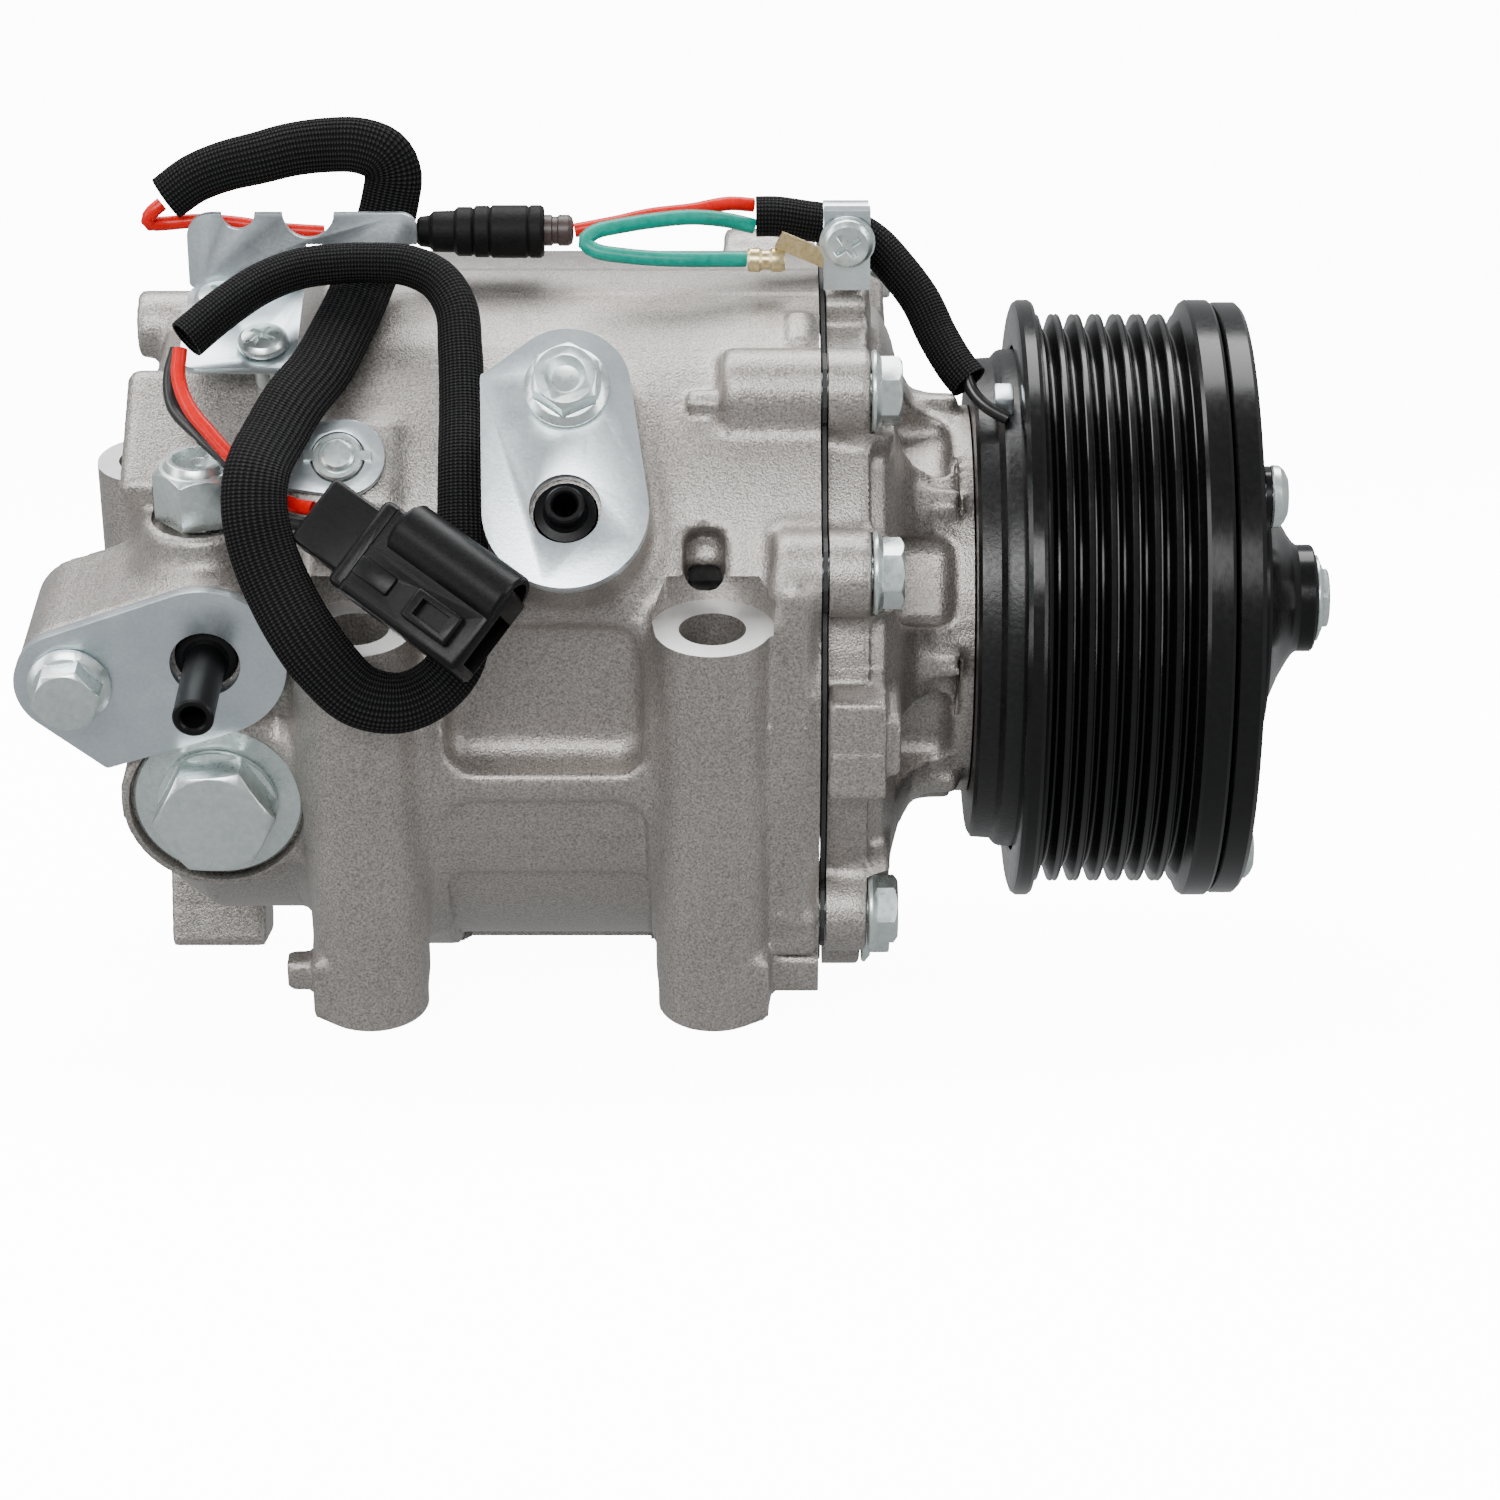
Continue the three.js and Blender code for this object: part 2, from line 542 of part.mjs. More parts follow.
// Castings
add("rear_housing", rearHousing(), castAluminium);
add("front_housing", frontHousing(), castAluminium);
add("housing_gasket", gasket(), gasketGrey);
boltAngles.forEach((angle, i) =>
  add(`housing_bolt_${i + 1}`, atAngle(flangeBolt(headX, 19), boltCircleR, angle), zinc));

// Scroll set and crank
add("fixed_scroll", fixedScroll(), castAluminium);
add("orbiting_scroll", orbitingScroll(), castAluminium);
add("orbit_bearing", barX(scroll.bushR + 2.8, -24.4, -14, 0, orbitR, 28).subtract(
  barX(scroll.bushR + 0.02, -26, -12, 0, orbitR, 28)), steel);
add("thrust_ring", ring(37.5, 47, -25.2, -21.6, 24), steel);
add("crankshaft", crankshaft(), steel);
add("counterweight_bush", counterweightBush(), steel);
add("main_bearing", ring(mainBearing.innerR + 0.05, mainBearing.outerR, 7.6, 17.6), steel);
add("shaft_seal", ring(shaftR + 0.1, sealR, 19.2, 26, 32), rubber);
const reedX = scroll.fixedPlate[0] - gap - reed.t / 2;
add("discharge_reed", box(reed.t, reed.width, reed.length, [reedX, 0, reed.z]), steel);
add("reed_stop", join(box(2, reed.width - 1, reed.length, [reedX - 3.65, 0, reed.z]),
  box(2.4, reed.width - 1, 5, [reedX - 1.9, 0, reed.z + 10.5]),
  barX(3.6, reedX - 6.85, reedX - 4.35, 0, reed.z + 9, 6)), steel);

// Clutch
add("coil_housing", coilHousing(), steel);
add("coil_winding", ring(coilInnerR + 2.5, coilOuterR - 2.5, 34.3, coilEnd - 1, 24), copper);
add("bearing_inner_ring", ring(noseR + gap, 22.4, bearingX, bearingX + bearingW), steel);
add("bearing_outer_ring", ring(22.7, bearingOuterR - 0.2, bearingX, bearingX + bearingW), steel);
add("pulley", pulley(), blackPaint);
add("armature_plate", armaturePlate(), blackPaint);
add("spring_plate", springPlate(), steel);
springAngles.forEach((angle, i) => add(`clutch_rivet_${i + 1}`, rivet(angle), zinc));
add("clutch_hub", clutchHub(), blackPaint);
add("hub_bolt", hubBolt(), zinc);

// Port plates, plug and relief valve
const suctionPlate = shippingPlate([...suctionPad, suctionCorner], suction.bolt, suction.port);
add("suction_plate", onFront(suctionPlate, suction.faceY - gap - plateT), zinc);
add("suction_plate_bolt", onFront(plateBolt(suction.bolt, false), suction.faceY - gap - plateT), zinc);
add("suction_port_cap", onFront(portCap(suction.port, 3.3, 2, 17.6), suction.faceY - gap - plateT), blackPlastic);
const dischargePlate = shippingPlate([...dischargePad, dischargeCorner], [0, discharge.boltAt], [0, discharge.portAt]);
const dischargeFace = discharge.faceR + gap + plateT;
add("discharge_plate", onPad(dischargePlate, dischargeFace), zinc);
add("discharge_plate_bolt", onPad(plateBolt([0, discharge.boltAt], true), dischargeFace), zinc);
add("discharge_port_cap", onPad(portCap([0, discharge.portAt], 3.2, 2, 2.6), dischargeFace), blackPlastic);
const washerY = plug.seatY - gap - plug.washerT;
add("oil_plug_washer", barY(plug.washerR, washerY, washerY + plug.washerT, plug.x, plug.z, 32).subtract(
  barY(plug.shankR + gap, washerY - 2, washerY + 4, plug.x, plug.z)), zinc);
add("oil_plug", join(
  barY(plug.headAF / Math.sqrt(3), washerY - gap - plug.headH, washerY - gap - 1, plug.x, plug.z, 6),
  barY(plug.headAF / 2 + 1, washerY - gap - 1.6, washerY - gap, plug.x, plug.z, 24),
  barY(plug.shankR, washerY - gap - 1, plug.seatY + 14.7, plug.x, plug.z, 20)), zinc);
add("relief_valve_body", reliefBody(), zinc);
add("relief_valve_poppet", join(barZ(relief.seatR, 17.4, 21, relief.x, relief.y, 14),
  barZ(1.1, 20.5, 27, relief.x, relief.y, 10)), steel);
add("relief_spring", helix(2, 0.4, 22, 41, 5, relief.x, relief.y), steel);

// Wiring bracket, thermal switch and lead clamp
add("wiring_bracket", bracket(), zinc);
bracketScrews.forEach((at, i) => add(`bracket_screw_${i + 1}`, bracketScrew(at), zinc));
add("switch_retainer", switchRetainer(), zinc);
add("thermal_switch", thermalSwitch(), blackPlastic);
add("lead_clamp", leadClamp(), zinc);
add("clamp_screw", clampScrew(), zinc);
add("ground_terminal", groundTerminal(), brass);
cordNames.add("ground_terminal");

// Wiring: each cord's route as it lies, and the pieces on it
cord("coil_sleeve", [[-10.4, 6, 69], [-7, 6, 69], [-3, 6, 68.4], [4.4, 6, 67], [9, 4.5, 65], [13, 2, 61.5],
  [17, -1, 57], [20, -5, 52], [23, -9, 48.3], [25, -11, 46.5]], sleeveR, 16, braid);
cord("ground_wire", [[-10.8, 4.2, 68], [-15, 3.4, 69.4], [-21, 1, 71], [-27, -1, 71.3], [-33, -3.2, 71.2],
  [-37, -5, 70.9], [-38.6, -6.4, 69.8], [-37, -7.4, 68.7], [-32, -7.6, 67.8], [-26, -7.4, 67.2], [-20, -6.8, 66.8],
  [-16, -5.6, 66.3], [-12.2, -4.7, 65.9]], wireR + 0.1, 20, greenWire);
cord("power_wire", [[-10.8, 7.6, 70.4], [-15, 6.8, 71], [-21, 5, 70.6], [-28, 3.8, 70.2], [-34, 2.8, 69.2],
  [-40.6, 2, 68.2]], wireR, 14, redWire);
cord("harness_sleeve", [[-102, -30, 63], [-97, -26, 66], [-91, -21, 68.5], [-85, -17, 69.5], [-79, -15.5, 69.8],
  [-73, -15, 69.8], [-67, -15.5, 69.5], [-62, -18, 68], [-59, -22.5, 65], [-58.2, -28, 60.5], [-57.6, -36.5, 53.8],
  [-57.4, -44, 48.5], [-57.2, -50.5, 41.5], [-57, -56, 34.5], [-56.8, -60.5, 28], [-58, -64, 22.5], [-62, -68, 19.5],
  [-67, -71, 19], [-73, -72, 21], [-78, -71, 26], [-82, -68.5, 31], [-85.5, -64.5, 36], [-88, -61, 41],
  [-89.3, -57.6, 46.4], [-89, -53, 51], [-86.5, -45, 54], [-84, -39, 56.5], [-80.5, -31.5, 58.5], [-78, -23.5, 60.8],
  [-76, -15.5, 62.8], [-74.5, -8.5, 64.8], [-73, -1.5, 67], [-72, 1, 70], [-71, 2.5, 74], [-70.5, 3, 78],
  [-72, 3.5, 81], [-76, 4, 82.5], [-81, 4, 82.6], [-87, 2, 82.6], [-92, 0, 82], [-98, -1, 80.8], [-103, -2, 79],
  [-107.5, -3, 76]], sleeveR, 48, braid);
cord("top_wire", [[-108.2, -3.2, 75.2], [-110.2, -4, 73.6], [-110.6, -3.4, 71.8], [-108.4, -2.6, 71.4],
  [-103, -2, 71.6], [-97, -1.4, 71], [-90, -1.2, 69.8], [-82, -1.2, 69.2]], wireR, 14, redWire);
cord("switch_wire_red", [[-102.9, -31.6, 62], [-103, -35, 58.6], [-101, -39.4, 55.4], [-97.6, -42.8, 52.6],
  [-93, -46.6, 49], [-88, -49.8, 45.6], [-84, -51.6, 44.2], [-80.6, -53, 44.2]], wireR, 13, redWire);
cord("switch_wire_black", [[-103.8, -28.6, 60.6], [-104.8, -31.6, 57.2], [-104, -35.4, 53.6], [-99.4, -40.6, 51],
  [-92.4, -45.6, 46.2], [-88.5, -48.2, 41.6], [-84.5, -50.2, 40.4], [-80.6, -51.8, 40.6]], wireR, 13, blackWire);
add("inline_plug", barX(2.6, -45.4, -41, 2, 68.2, 12), brownPlastic);
add("plug_boot", barX(4.4, -64.4, -45.7, 2, 68, 14), rubber);

// A two-way connector that lies aslant on the housing: its own +X along the plug, +Z away from the housing
function harnessConnector() {
  const rear = new THREE.Vector3(-79.6, -54.6, 44.2);
  const along = new THREE.Vector3(-51.5, -73, 31.5).sub(rear).normalize();
  const out = new THREE.Vector3(0, -0.82, 0.57);
  out.addScaledVector(along, -out.dot(along)).normalize();
  const turn = new THREE.Matrix4().makeBasis(along, out.clone().cross(along), out).setPosition(rear);
  const made = join(
    box(10, 12, 8, [5, 0, 0]),
    box(26, 16, 10.4, [22.5, 0, 0]),
    barX(5.2, 14, 35.4, 5.6, 1.6, 16),
    box(8, 5, 2.4, [28, -3, 6]),
  );
  const { elements } = turn;
  return made.transform([...elements]);
}

add("harness_connector", harnessConnector(), blackPlastic);
["inline_plug", "plug_boot", "harness_connector"].forEach((name) => cordNames.add(name));

compressor.rotation.x = rad(rollDeg);
compressor.updateMatrixWorld(true);
const stood = new THREE.Box3();
compressor.children.filter((mesh) => !cordNames.has(mesh.name))
  .forEach((mesh) => stood.expandByObject(mesh, true));
const middle = stood.getCenter(new THREE.Vector3());
compressor.position.set(-middle.x, -middle.y, -stood.min.z);

export default compressor;
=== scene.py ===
# A scroll compressor with a magnetic clutch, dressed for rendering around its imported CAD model.
# Shapes are drawn in millimetres with the shaft on X and the mount bosses on Z, then laid into the row frame.
import json
import math

import bpy
import numpy as np
from mathutils import Matrix, Vector

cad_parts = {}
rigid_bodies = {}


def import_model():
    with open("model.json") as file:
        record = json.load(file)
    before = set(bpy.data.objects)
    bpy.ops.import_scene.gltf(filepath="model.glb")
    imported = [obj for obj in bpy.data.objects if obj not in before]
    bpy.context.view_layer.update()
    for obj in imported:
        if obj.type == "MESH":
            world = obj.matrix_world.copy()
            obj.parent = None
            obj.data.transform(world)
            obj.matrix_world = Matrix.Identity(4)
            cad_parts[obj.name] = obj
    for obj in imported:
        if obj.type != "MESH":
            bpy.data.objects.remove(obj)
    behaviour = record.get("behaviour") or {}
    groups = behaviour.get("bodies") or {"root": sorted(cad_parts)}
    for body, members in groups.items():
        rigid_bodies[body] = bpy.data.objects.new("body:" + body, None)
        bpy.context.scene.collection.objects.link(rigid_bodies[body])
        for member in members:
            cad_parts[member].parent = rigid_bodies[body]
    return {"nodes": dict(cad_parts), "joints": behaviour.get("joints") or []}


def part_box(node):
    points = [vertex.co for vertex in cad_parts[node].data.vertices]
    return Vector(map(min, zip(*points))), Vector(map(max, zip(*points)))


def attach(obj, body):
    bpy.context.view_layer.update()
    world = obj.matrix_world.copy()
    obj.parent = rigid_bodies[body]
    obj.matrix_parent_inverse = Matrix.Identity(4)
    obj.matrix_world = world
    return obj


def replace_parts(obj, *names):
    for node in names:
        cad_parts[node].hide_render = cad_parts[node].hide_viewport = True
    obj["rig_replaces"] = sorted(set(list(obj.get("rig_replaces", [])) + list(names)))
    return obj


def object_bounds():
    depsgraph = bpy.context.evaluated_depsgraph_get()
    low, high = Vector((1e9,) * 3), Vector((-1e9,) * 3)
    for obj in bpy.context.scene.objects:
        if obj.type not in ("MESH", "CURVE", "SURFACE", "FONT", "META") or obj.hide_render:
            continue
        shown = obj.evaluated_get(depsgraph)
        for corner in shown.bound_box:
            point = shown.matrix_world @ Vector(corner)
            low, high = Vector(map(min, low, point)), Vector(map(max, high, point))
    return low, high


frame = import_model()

cadBounds = [list(corner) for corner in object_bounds()]

mm = 0.001
rollDeg = 20.5  # lean of the bosses towards the front
clearance = 0.3  # between pieces that touch


def shift(x, y, z):
    return Matrix.Translation((x, y, z))


def turnBy(degrees, axis):
    return Matrix.Rotation(math.radians(degrees), 4, axis)


def roundShaft(r, angle):
    # (y, z) at this radius, angle degrees up from straight in front
    a = math.radians(angle)
    return -r * math.cos(a), r * math.sin(a)


shaftSpin = next(joint for joint in frame["joints"] if joint["name"] == "shaft_spin")
shaftY, shaftZ = shaftSpin["pos_m"][1:]
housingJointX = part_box("housing_gasket")[0][0] - clearance * mm
toRow = shift(housingJointX, shaftY, shaftZ) @ turnBy(rollDeg, "X") @ Matrix.Scale(mm, 4)


# Camera
cameraAt = {"x": -11.4, "y": -671.4, "z": 357.1, "pitchDeg": 9.5, "lens": 104.9, "sensor": 36}
cameraData = bpy.data.cameras.new("camera")
cameraData.lens = cameraAt["lens"]
cameraData.sensor_width = cameraAt["sensor"]
camera = bpy.data.objects.new("camera", cameraData)
camera.location = toRow @ Vector((cameraAt["x"], cameraAt["y"], cameraAt["z"]))
camera.rotation_euler = (math.radians(90 - cameraAt["pitchDeg"]), 0, 0)
bpy.context.collection.objects.link(camera)
bpy.context.scene.camera = camera


# Materials: groups that several finishes share
def groupWith(name, inputs, outputs):
    group = bpy.data.node_groups.new(name, "ShaderNodeTree")
    for label, kind, value in inputs:
        socket = group.interface.new_socket(label, in_out="INPUT", socket_type=kind)
        if value is not None:
            socket.default_value = value
    for label, kind in outputs:
        group.interface.new_socket(label, in_out="OUTPUT", socket_type=kind)
    return group, group.nodes.new("NodeGroupInput"), group.nodes.new("NodeGroupOutput")


def addNode(tree, kind, settings=None, **inputs):
    node = tree.nodes.new(kind)
    for key, value in (settings or {}).items():
        setattr(node, key, value)
    for key, value in inputs.items():
        socket = node.inputs[int(key[1:])] if key[0] == "i" and key[1:].isdigit() else node.inputs[key]
        if isinstance(value, bpy.types.NodeSocket):
            tree.links.new(value, socket)
        else:
            socket.default_value = value
    return node


def mathNode(tree, operation, first, second=0.0):
    return addNode(tree, "ShaderNodeMath", {"operation": operation}, i0=first, i1=second).outputs[0]


def addBump(tree, shader, height, depth):
    bump = addNode(tree, "ShaderNodeBump", Height=height, Strength=1.0, Distance=depth * mm)
    tree.links.new(bump.outputs[0], shader.inputs["Normal"])


def grainGroup():
    group, given, made = groupWith(
        "surfaceGrain",
        [("Place", "NodeSocketVector", None), ("Scale", "NodeSocketFloat", 2000.0),
         ("Blotch", "NodeSocketFloat", 60.0), ("Strength", "NodeSocketFloat", 0.5)],
        [("Mask", "NodeSocketFloat"), ("Height", "NodeSocketFloat")])
    fine = addNode(group, "ShaderNodeTexNoise", Vector=given.outputs["Place"],
                   Scale=given.outputs["Scale"], Detail=2.0, Roughness=0.6)
    broad = addNode(group, "ShaderNodeTexNoise", Vector=given.outputs["Place"],
                    Scale=given.outputs["Blotch"], Detail=4.0, Roughness=0.6)
    sharpened = addNode(group, "ShaderNodeMapRange", i0=fine.outputs["Fac"], i1=0.32, i2=0.68,
                        i3=0.0, i4=1.0)
    mixed = addNode(group, "ShaderNodeMix", i0=given.outputs["Strength"], i2=broad.outputs["Fac"],
                    i3=sharpened.outputs[0])
    group.links.new(mixed.outputs[0], made.inputs["Mask"])
    group.links.new(sharpened.outputs[0], made.inputs["Height"])
    return group


def weaveGroup():
    group, given, made = groupWith(
        "braidWeave",
        [("Place", "NodeSocketVector", None), ("Across", "NodeSocketFloat", 20.0),
         ("Along", "NodeSocketFloat", 1.0)],
        [("Mask", "NodeSocketFloat"), ("Height", "NodeSocketFloat")])
    split = addNode(group, "ShaderNodeSeparateXYZ", Vector=given.outputs["Place"])
    u = mathNode(group, "MULTIPLY", split.outputs[0], given.outputs["Across"])
    v = mathNode(group, "MULTIPLY", split.outputs[1], given.outputs["Along"])
    waves = []
    for kind in ("ADD", "SUBTRACT"):
        slanted = mathNode(group, kind, u, v)
        waves.append(mathNode(group, "SINE", mathNode(group, "MULTIPLY", slanted, math.tau)))
    crossed = mathNode(group, "MULTIPLY", *waves)
    raised = addNode(group, "ShaderNodeMapRange", i0=crossed, i1=-0.8, i2=0.8, i3=0.0, i4=1.0).outputs[0]
    group.links.new(mathNode(group, "POWER", raised, 3.0), made.inputs["Mask"])
    group.links.new(raised, made.inputs["Height"])
    return group


surfaceGrain = grainGroup()
braidWeave = weaveGroup()


def finish(name, dark, light, metallic=0.0, rough=(0.4, 0.5), grain=2000.0, blotch=60.0, mix=0.5, bump=0.0,
           specular=0.5):
    material = bpy.data.materials.new(name)
    material.use_nodes = True
    tree = material.node_tree
    tree.nodes.clear()
    out = tree.nodes.new("ShaderNodeOutputMaterial")
    shader = addNode(tree, "ShaderNodeBsdfPrincipled")
    tree.links.new(shader.outputs[0], out.inputs[0])
    place = addNode(tree, "ShaderNodeTexCoord")
    spots = addNode(tree, "ShaderNodeGroup", {"node_tree": surfaceGrain}, Place=place.outputs["Object"],
                    Scale=grain, Blotch=blotch, Strength=mix)
    colour = addNode(tree, "ShaderNodeMix", {"data_type": "RGBA"}, i0=spots.outputs["Mask"],
                     i6=(*dark, 1), i7=(*light, 1))
    tree.links.new(colour.outputs[2], shader.inputs["Base Color"])
    roughness = addNode(tree, "ShaderNodeMapRange", i0=spots.outputs["Mask"], i1=0.0, i2=1.0,
                        i3=rough[0], i4=rough[1])
    tree.links.new(roughness.outputs[0], shader.inputs["Roughness"])
    if bump:
        addBump(tree, shader, spots.outputs["Height"], bump)
    shader.inputs["Metallic"].default_value = metallic
    shader.inputs["Specular IOR Level"].default_value = specular
    return material


def braidFinish(name, dark, light, across, along, bump):
    material = finish(name, dark, light, rough=(0.5, 0.75), grain=4000, specular=0.08)
    tree = material.node_tree
    shader = next(node for node in tree.nodes if node.type == "BSDF_PRINCIPLED")
    colour = next(node for node in tree.nodes if node.type == "MIX")
    place = next(node for node in tree.nodes if node.type == "TEX_COORD")
    weave = addNode(tree, "ShaderNodeGroup", {"node_tree": braidWeave}, Place=place.outputs["UV"],
                    Across=across, Along=along)
    tree.links.new(weave.outputs["Mask"], colour.inputs[0])
    addBump(tree, shader, weave.outputs["Height"], bump)
    return material


castAluminium = finish("castAluminium", (0.17, 0.156, 0.145), (0.5, 0.468, 0.44), 0.75, (0.3, 0.46),
                       grain=2600, blotch=45, mix=0.75, bump=0.05)
machinedAluminium = finish("machinedAluminium", (0.8, 0.8, 0.8), (0.95, 0.95, 0.95), 0.85, (0.28, 0.42),
                           grain=2500, blotch=200, bump=0.01)
zinc = finish("zincPlate", (0.47, 0.54, 0.58), (0.74, 0.8, 0.82), 0.9, (0.24, 0.38),
              grain=1700, blotch=150, mix=0.25, bump=0.006)
paleZinc = finish("paleZinc", (0.52, 0.59, 0.58), (0.76, 0.83, 0.81), 0.88, (0.22, 0.38),
                  grain=900, blotch=120, mix=0.4, bump=0.008)
steel = finish("steel", (0.38, 0.38, 0.39), (0.6, 0.6, 0.61), 1.0, (0.25, 0.4), grain=1800, blotch=90)
glossBlack = finish("glossBlack", (0.0012, 0.0012, 0.0013), (0.004, 0.004, 0.0044), 0.0, (0.14, 0.26),
                    grain=900, blotch=50, bump=0.003, specular=0.3)
darkSteel = finish("darkSteel", (0.003, 0.003, 0.0033), (0.012, 0.012, 0.013), 0.3, (0.25, 0.45),
                   grain=1200, blotch=70, bump=0.02)
blackPlastic = finish("blackPlastic", (0.002, 0.002, 0.0022), (0.006, 0.006, 0.0066), 0.0, (0.28, 0.42),
                      grain=2500, blotch=80, bump=0.006, specular=0.16)
brownPlastic = finish("brownPlastic", (0.02, 0.011, 0.01), (0.05, 0.03, 0.027), 0.0, (0.35, 0.5),
                      grain=2000, blotch=100, bump=0.01)
rubber = finish("rubber", (0.002, 0.002, 0.002), (0.007, 0.007, 0.007), 0.0, (0.45, 0.65),
                grain=1800, blotch=90, bump=0.02, specular=0.12)
redInsulation = finish("redInsulation", (0.5, 0.0, 0.0), (0.68, 0.002, 0.0015), 0.0, (0.22, 0.35),
                       grain=600, blotch=90, bump=0.01, specular=0.25)
greenInsulation = finish("greenInsulation", (0.0, 0.17, 0.125), (0.0, 0.3, 0.225), 0.0, (0.25, 0.4),
                         grain=600, blotch=60, bump=0.01, specular=0.3)
blackInsulation = finish("blackInsulation", (0.006, 0.006, 0.006), (0.014, 0.014, 0.014), 0.0, (0.25, 0.4),
                         grain=900, blotch=90)
brass = finish("brass", (0.5, 0.38, 0.16), (0.82, 0.7, 0.42), 1.0, (0.25, 0.4),
               grain=1500, blotch=200, bump=0.01)
copper = finish("copper", (0.35, 0.13, 0.05), (0.6, 0.25, 0.1), 0.9, (0.3, 0.5), grain=1200, blotch=200)
gasketFace = finish("gasketFace", (0.012, 0.012, 0.012), (0.03, 0.03, 0.03), 0.0, (0.5, 0.7), grain=1500)
roundBraid = braidFinish("roundBraid", (0.0015, 0.0015, 0.0015), (0.022, 0.022, 0.023), 15, 9.0, 0.3)
print("finishes made")


# Meshes
def meshObject(name, points, faces):
    mesh = bpy.data.meshes.new(name)
    mesh.from_pydata([tuple(point) for point in points], [], [tuple(face) for face in faces])
    made = bpy.data.objects.new(name, mesh)
    bpy.context.collection.objects.link(made)
    return made


def bake(made):
    evaluated = made.evaluated_get(bpy.context.evaluated_depsgraph_get())
    mesh = bpy.data.meshes.new_from_object(evaluated)
    old = made.data
    made.modifiers.clear()
    made.data = mesh
    bpy.data.meshes.remove(old)
    return made


def combine(base, other, operation="DIFFERENCE"):
    modifier = base.modifiers.new("combine", "BOOLEAN")
    modifier.operation = operation
    modifier.solver = "MANIFOLD"
    modifier.object = other
    bake(base)
    bpy.data.objects.remove(other)
    return base


def softenEdges(made, width, segments=2, angle=35):
    modifier = made.modifiers.new("edges", "BEVEL")
    modifier.width = width
    modifier.segments = segments
    modifier.limit_method = "ANGLE"
    modifier.angle_limit = math.radians(angle)
    modifier.use_clamp_overlap = True
    return bake(made)


def settle(made, body, materials, replaced=(), smoothAngle=35):
    made.data.transform(toRow)
    made.data.materials.clear()
    for material in materials if isinstance(materials, (list, tuple)) else [materials]:
        made.data.materials.append(material)
    made.data.shade_smooth()
    made.data.set_sharp_from_angle(angle=math.radians(smoothAngle))
    made.data.update()
    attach(made, body)
    if replaced:
        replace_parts(made, *replaced)
    return made


def merged(name, parts):
    points, faces, start = [], [], 0
    for part in parts:
        points += [part.matrix_world @ vertex.co for vertex in part.data.vertices]
        faces += [[start + index for index in face.vertices] for face in part.data.polygons]
        start = len(points)
        bpy.data.objects.remove(part)
    return meshObject(name, points, faces)


def turned(name, profile, sides=64):
    # profile: [radius, height] up the Z axis; starts and ends on the axis or closes on itself
    onAxis = profile[0][0] == 0 and profile[-1][0] == 0
    inner = profile[1:-1] if onAxis else profile
    angles = [math.tau * i / sides for i in range(sides)]
    points = [(r * math.cos(a), r * math.sin(a), h) for r, h in inner for a in angles]
    rows = len(inner)
    faces = []
    for row in range(rows - 1 if onAxis else rows):
        low, high = row * sides, (row + 1) % rows * sides
        faces += [(low + i, low + (i + 1) % sides, high + (i + 1) % sides, high + i) for i in range(sides)]
    if onAxis:
        points += [(0, 0, profile[0][1]), (0, 0, profile[-1][1])]
        foot, tip = len(points) - 2, len(points) - 1
        last = (rows - 1) * sides
        faces += [(foot, (i + 1) % sides, i) for i in range(sides)]
        faces += [(tip, last + i, last + (i + 1) % sides) for i in range(sides)]
    return facedOut(meshObject(name, points, faces))


def facedOut(made):
    # flips a closed piece whose faces point inwards
    made.data.calc_loop_triangles()
    volume = 0.0
    for triangle in made.data.loop_triangles:
        a, b, c = (made.data.vertices[index].co for index in triangle.vertices)
        volume += a.dot(b.cross(c))
    if volume < 0:
        made.data.flip_normals()
    return made


def prism(name, outline, low, high):
    count = len(outline)
    points = [(x, y, low) for x, y in outline] + [(x, y, high) for x, y in outline]
    faces = [tuple(range(count))[::-1], tuple(range(count, 2 * count))]
    faces += [(i, (i + 1) % count, count + (i + 1) % count, count + i) for i in range(count)]
    return facedOut(meshObject(name, points, faces))


def block(name, size, at=(0, 0, 0), turn=None):
    x, y, z = (value / 2 for value in size)
    made = prism(name, [(-x, -y), (x, -y), (x, y), (-x, y)], -z, z)
    return laid(made, shift(*at) @ (turn or Matrix.Identity(4)))


def rod(name, r, low, high, at=(0, 0), sides=32):
    return laid(turned(name, [(0, low), (r, low), (r, high), (0, high)], sides), shift(*at, 0))


def laid(made, place):
    made.data.transform(place)
    return made


def hexagonHead(name, acrossFlats, low, high, crown=0.6):
    corner = acrossFlats / math.sqrt(3)
    hexagon = [(corner * math.cos(math.tau * i / 6), corner * math.sin(math.tau * i / 6)) for i in range(6)]
    made = prism(name, hexagon, low, high)
    half, slope = acrossFlats / 2, 0.5
    outside = half * 1.3
    cone = turned("cone", [(0, low - 1), (outside, low - 1), (outside, high - crown - half * 0.3 * slope),
                           (half * 0.96, high), (0, high)], 64)
    return combine(made, cone, "INTERSECT")


def bandOutline(discs, perTurn=72):
    # the convex outline that goes round several discs [x, y, r]
    points = [(x + r * math.cos(math.tau * i / perTurn), y + r * math.sin(math.tau * i / perTurn))
              for x, y, r in discs for i in range(perTurn)]
    points = sorted(set(points))
    chains = []
    for run in (points, points[::-1]):
        chain = []
        for point in run:
            while len(chain) > 1 and crossOf(chain[-2], chain[-1], point) <= 1e-9:
                chain.pop()
            chain.append(point)
        chains += chain[:-1]
    return chains


def crossOf(a, b, c):
    return (b[0] - a[0]) * (c[1] - a[1]) - (b[1] - a[1]) * (c[0] - a[0])


# Places that pieces are drawn on, from their own X, Y, Z to the compressor's
def onFront(y):
    return shift(0, y, 0) @ turnBy(90, "X")


def onSlope(x, r, angle):
    return shift(x, *roundShaft(r, angle)) @ turnBy(90 - angle, "X")


def alongShaft(x, r=0.0, angle=0.0):
    return shift(x, *roundShaft(r, angle)) @ turnBy(90, "Y")


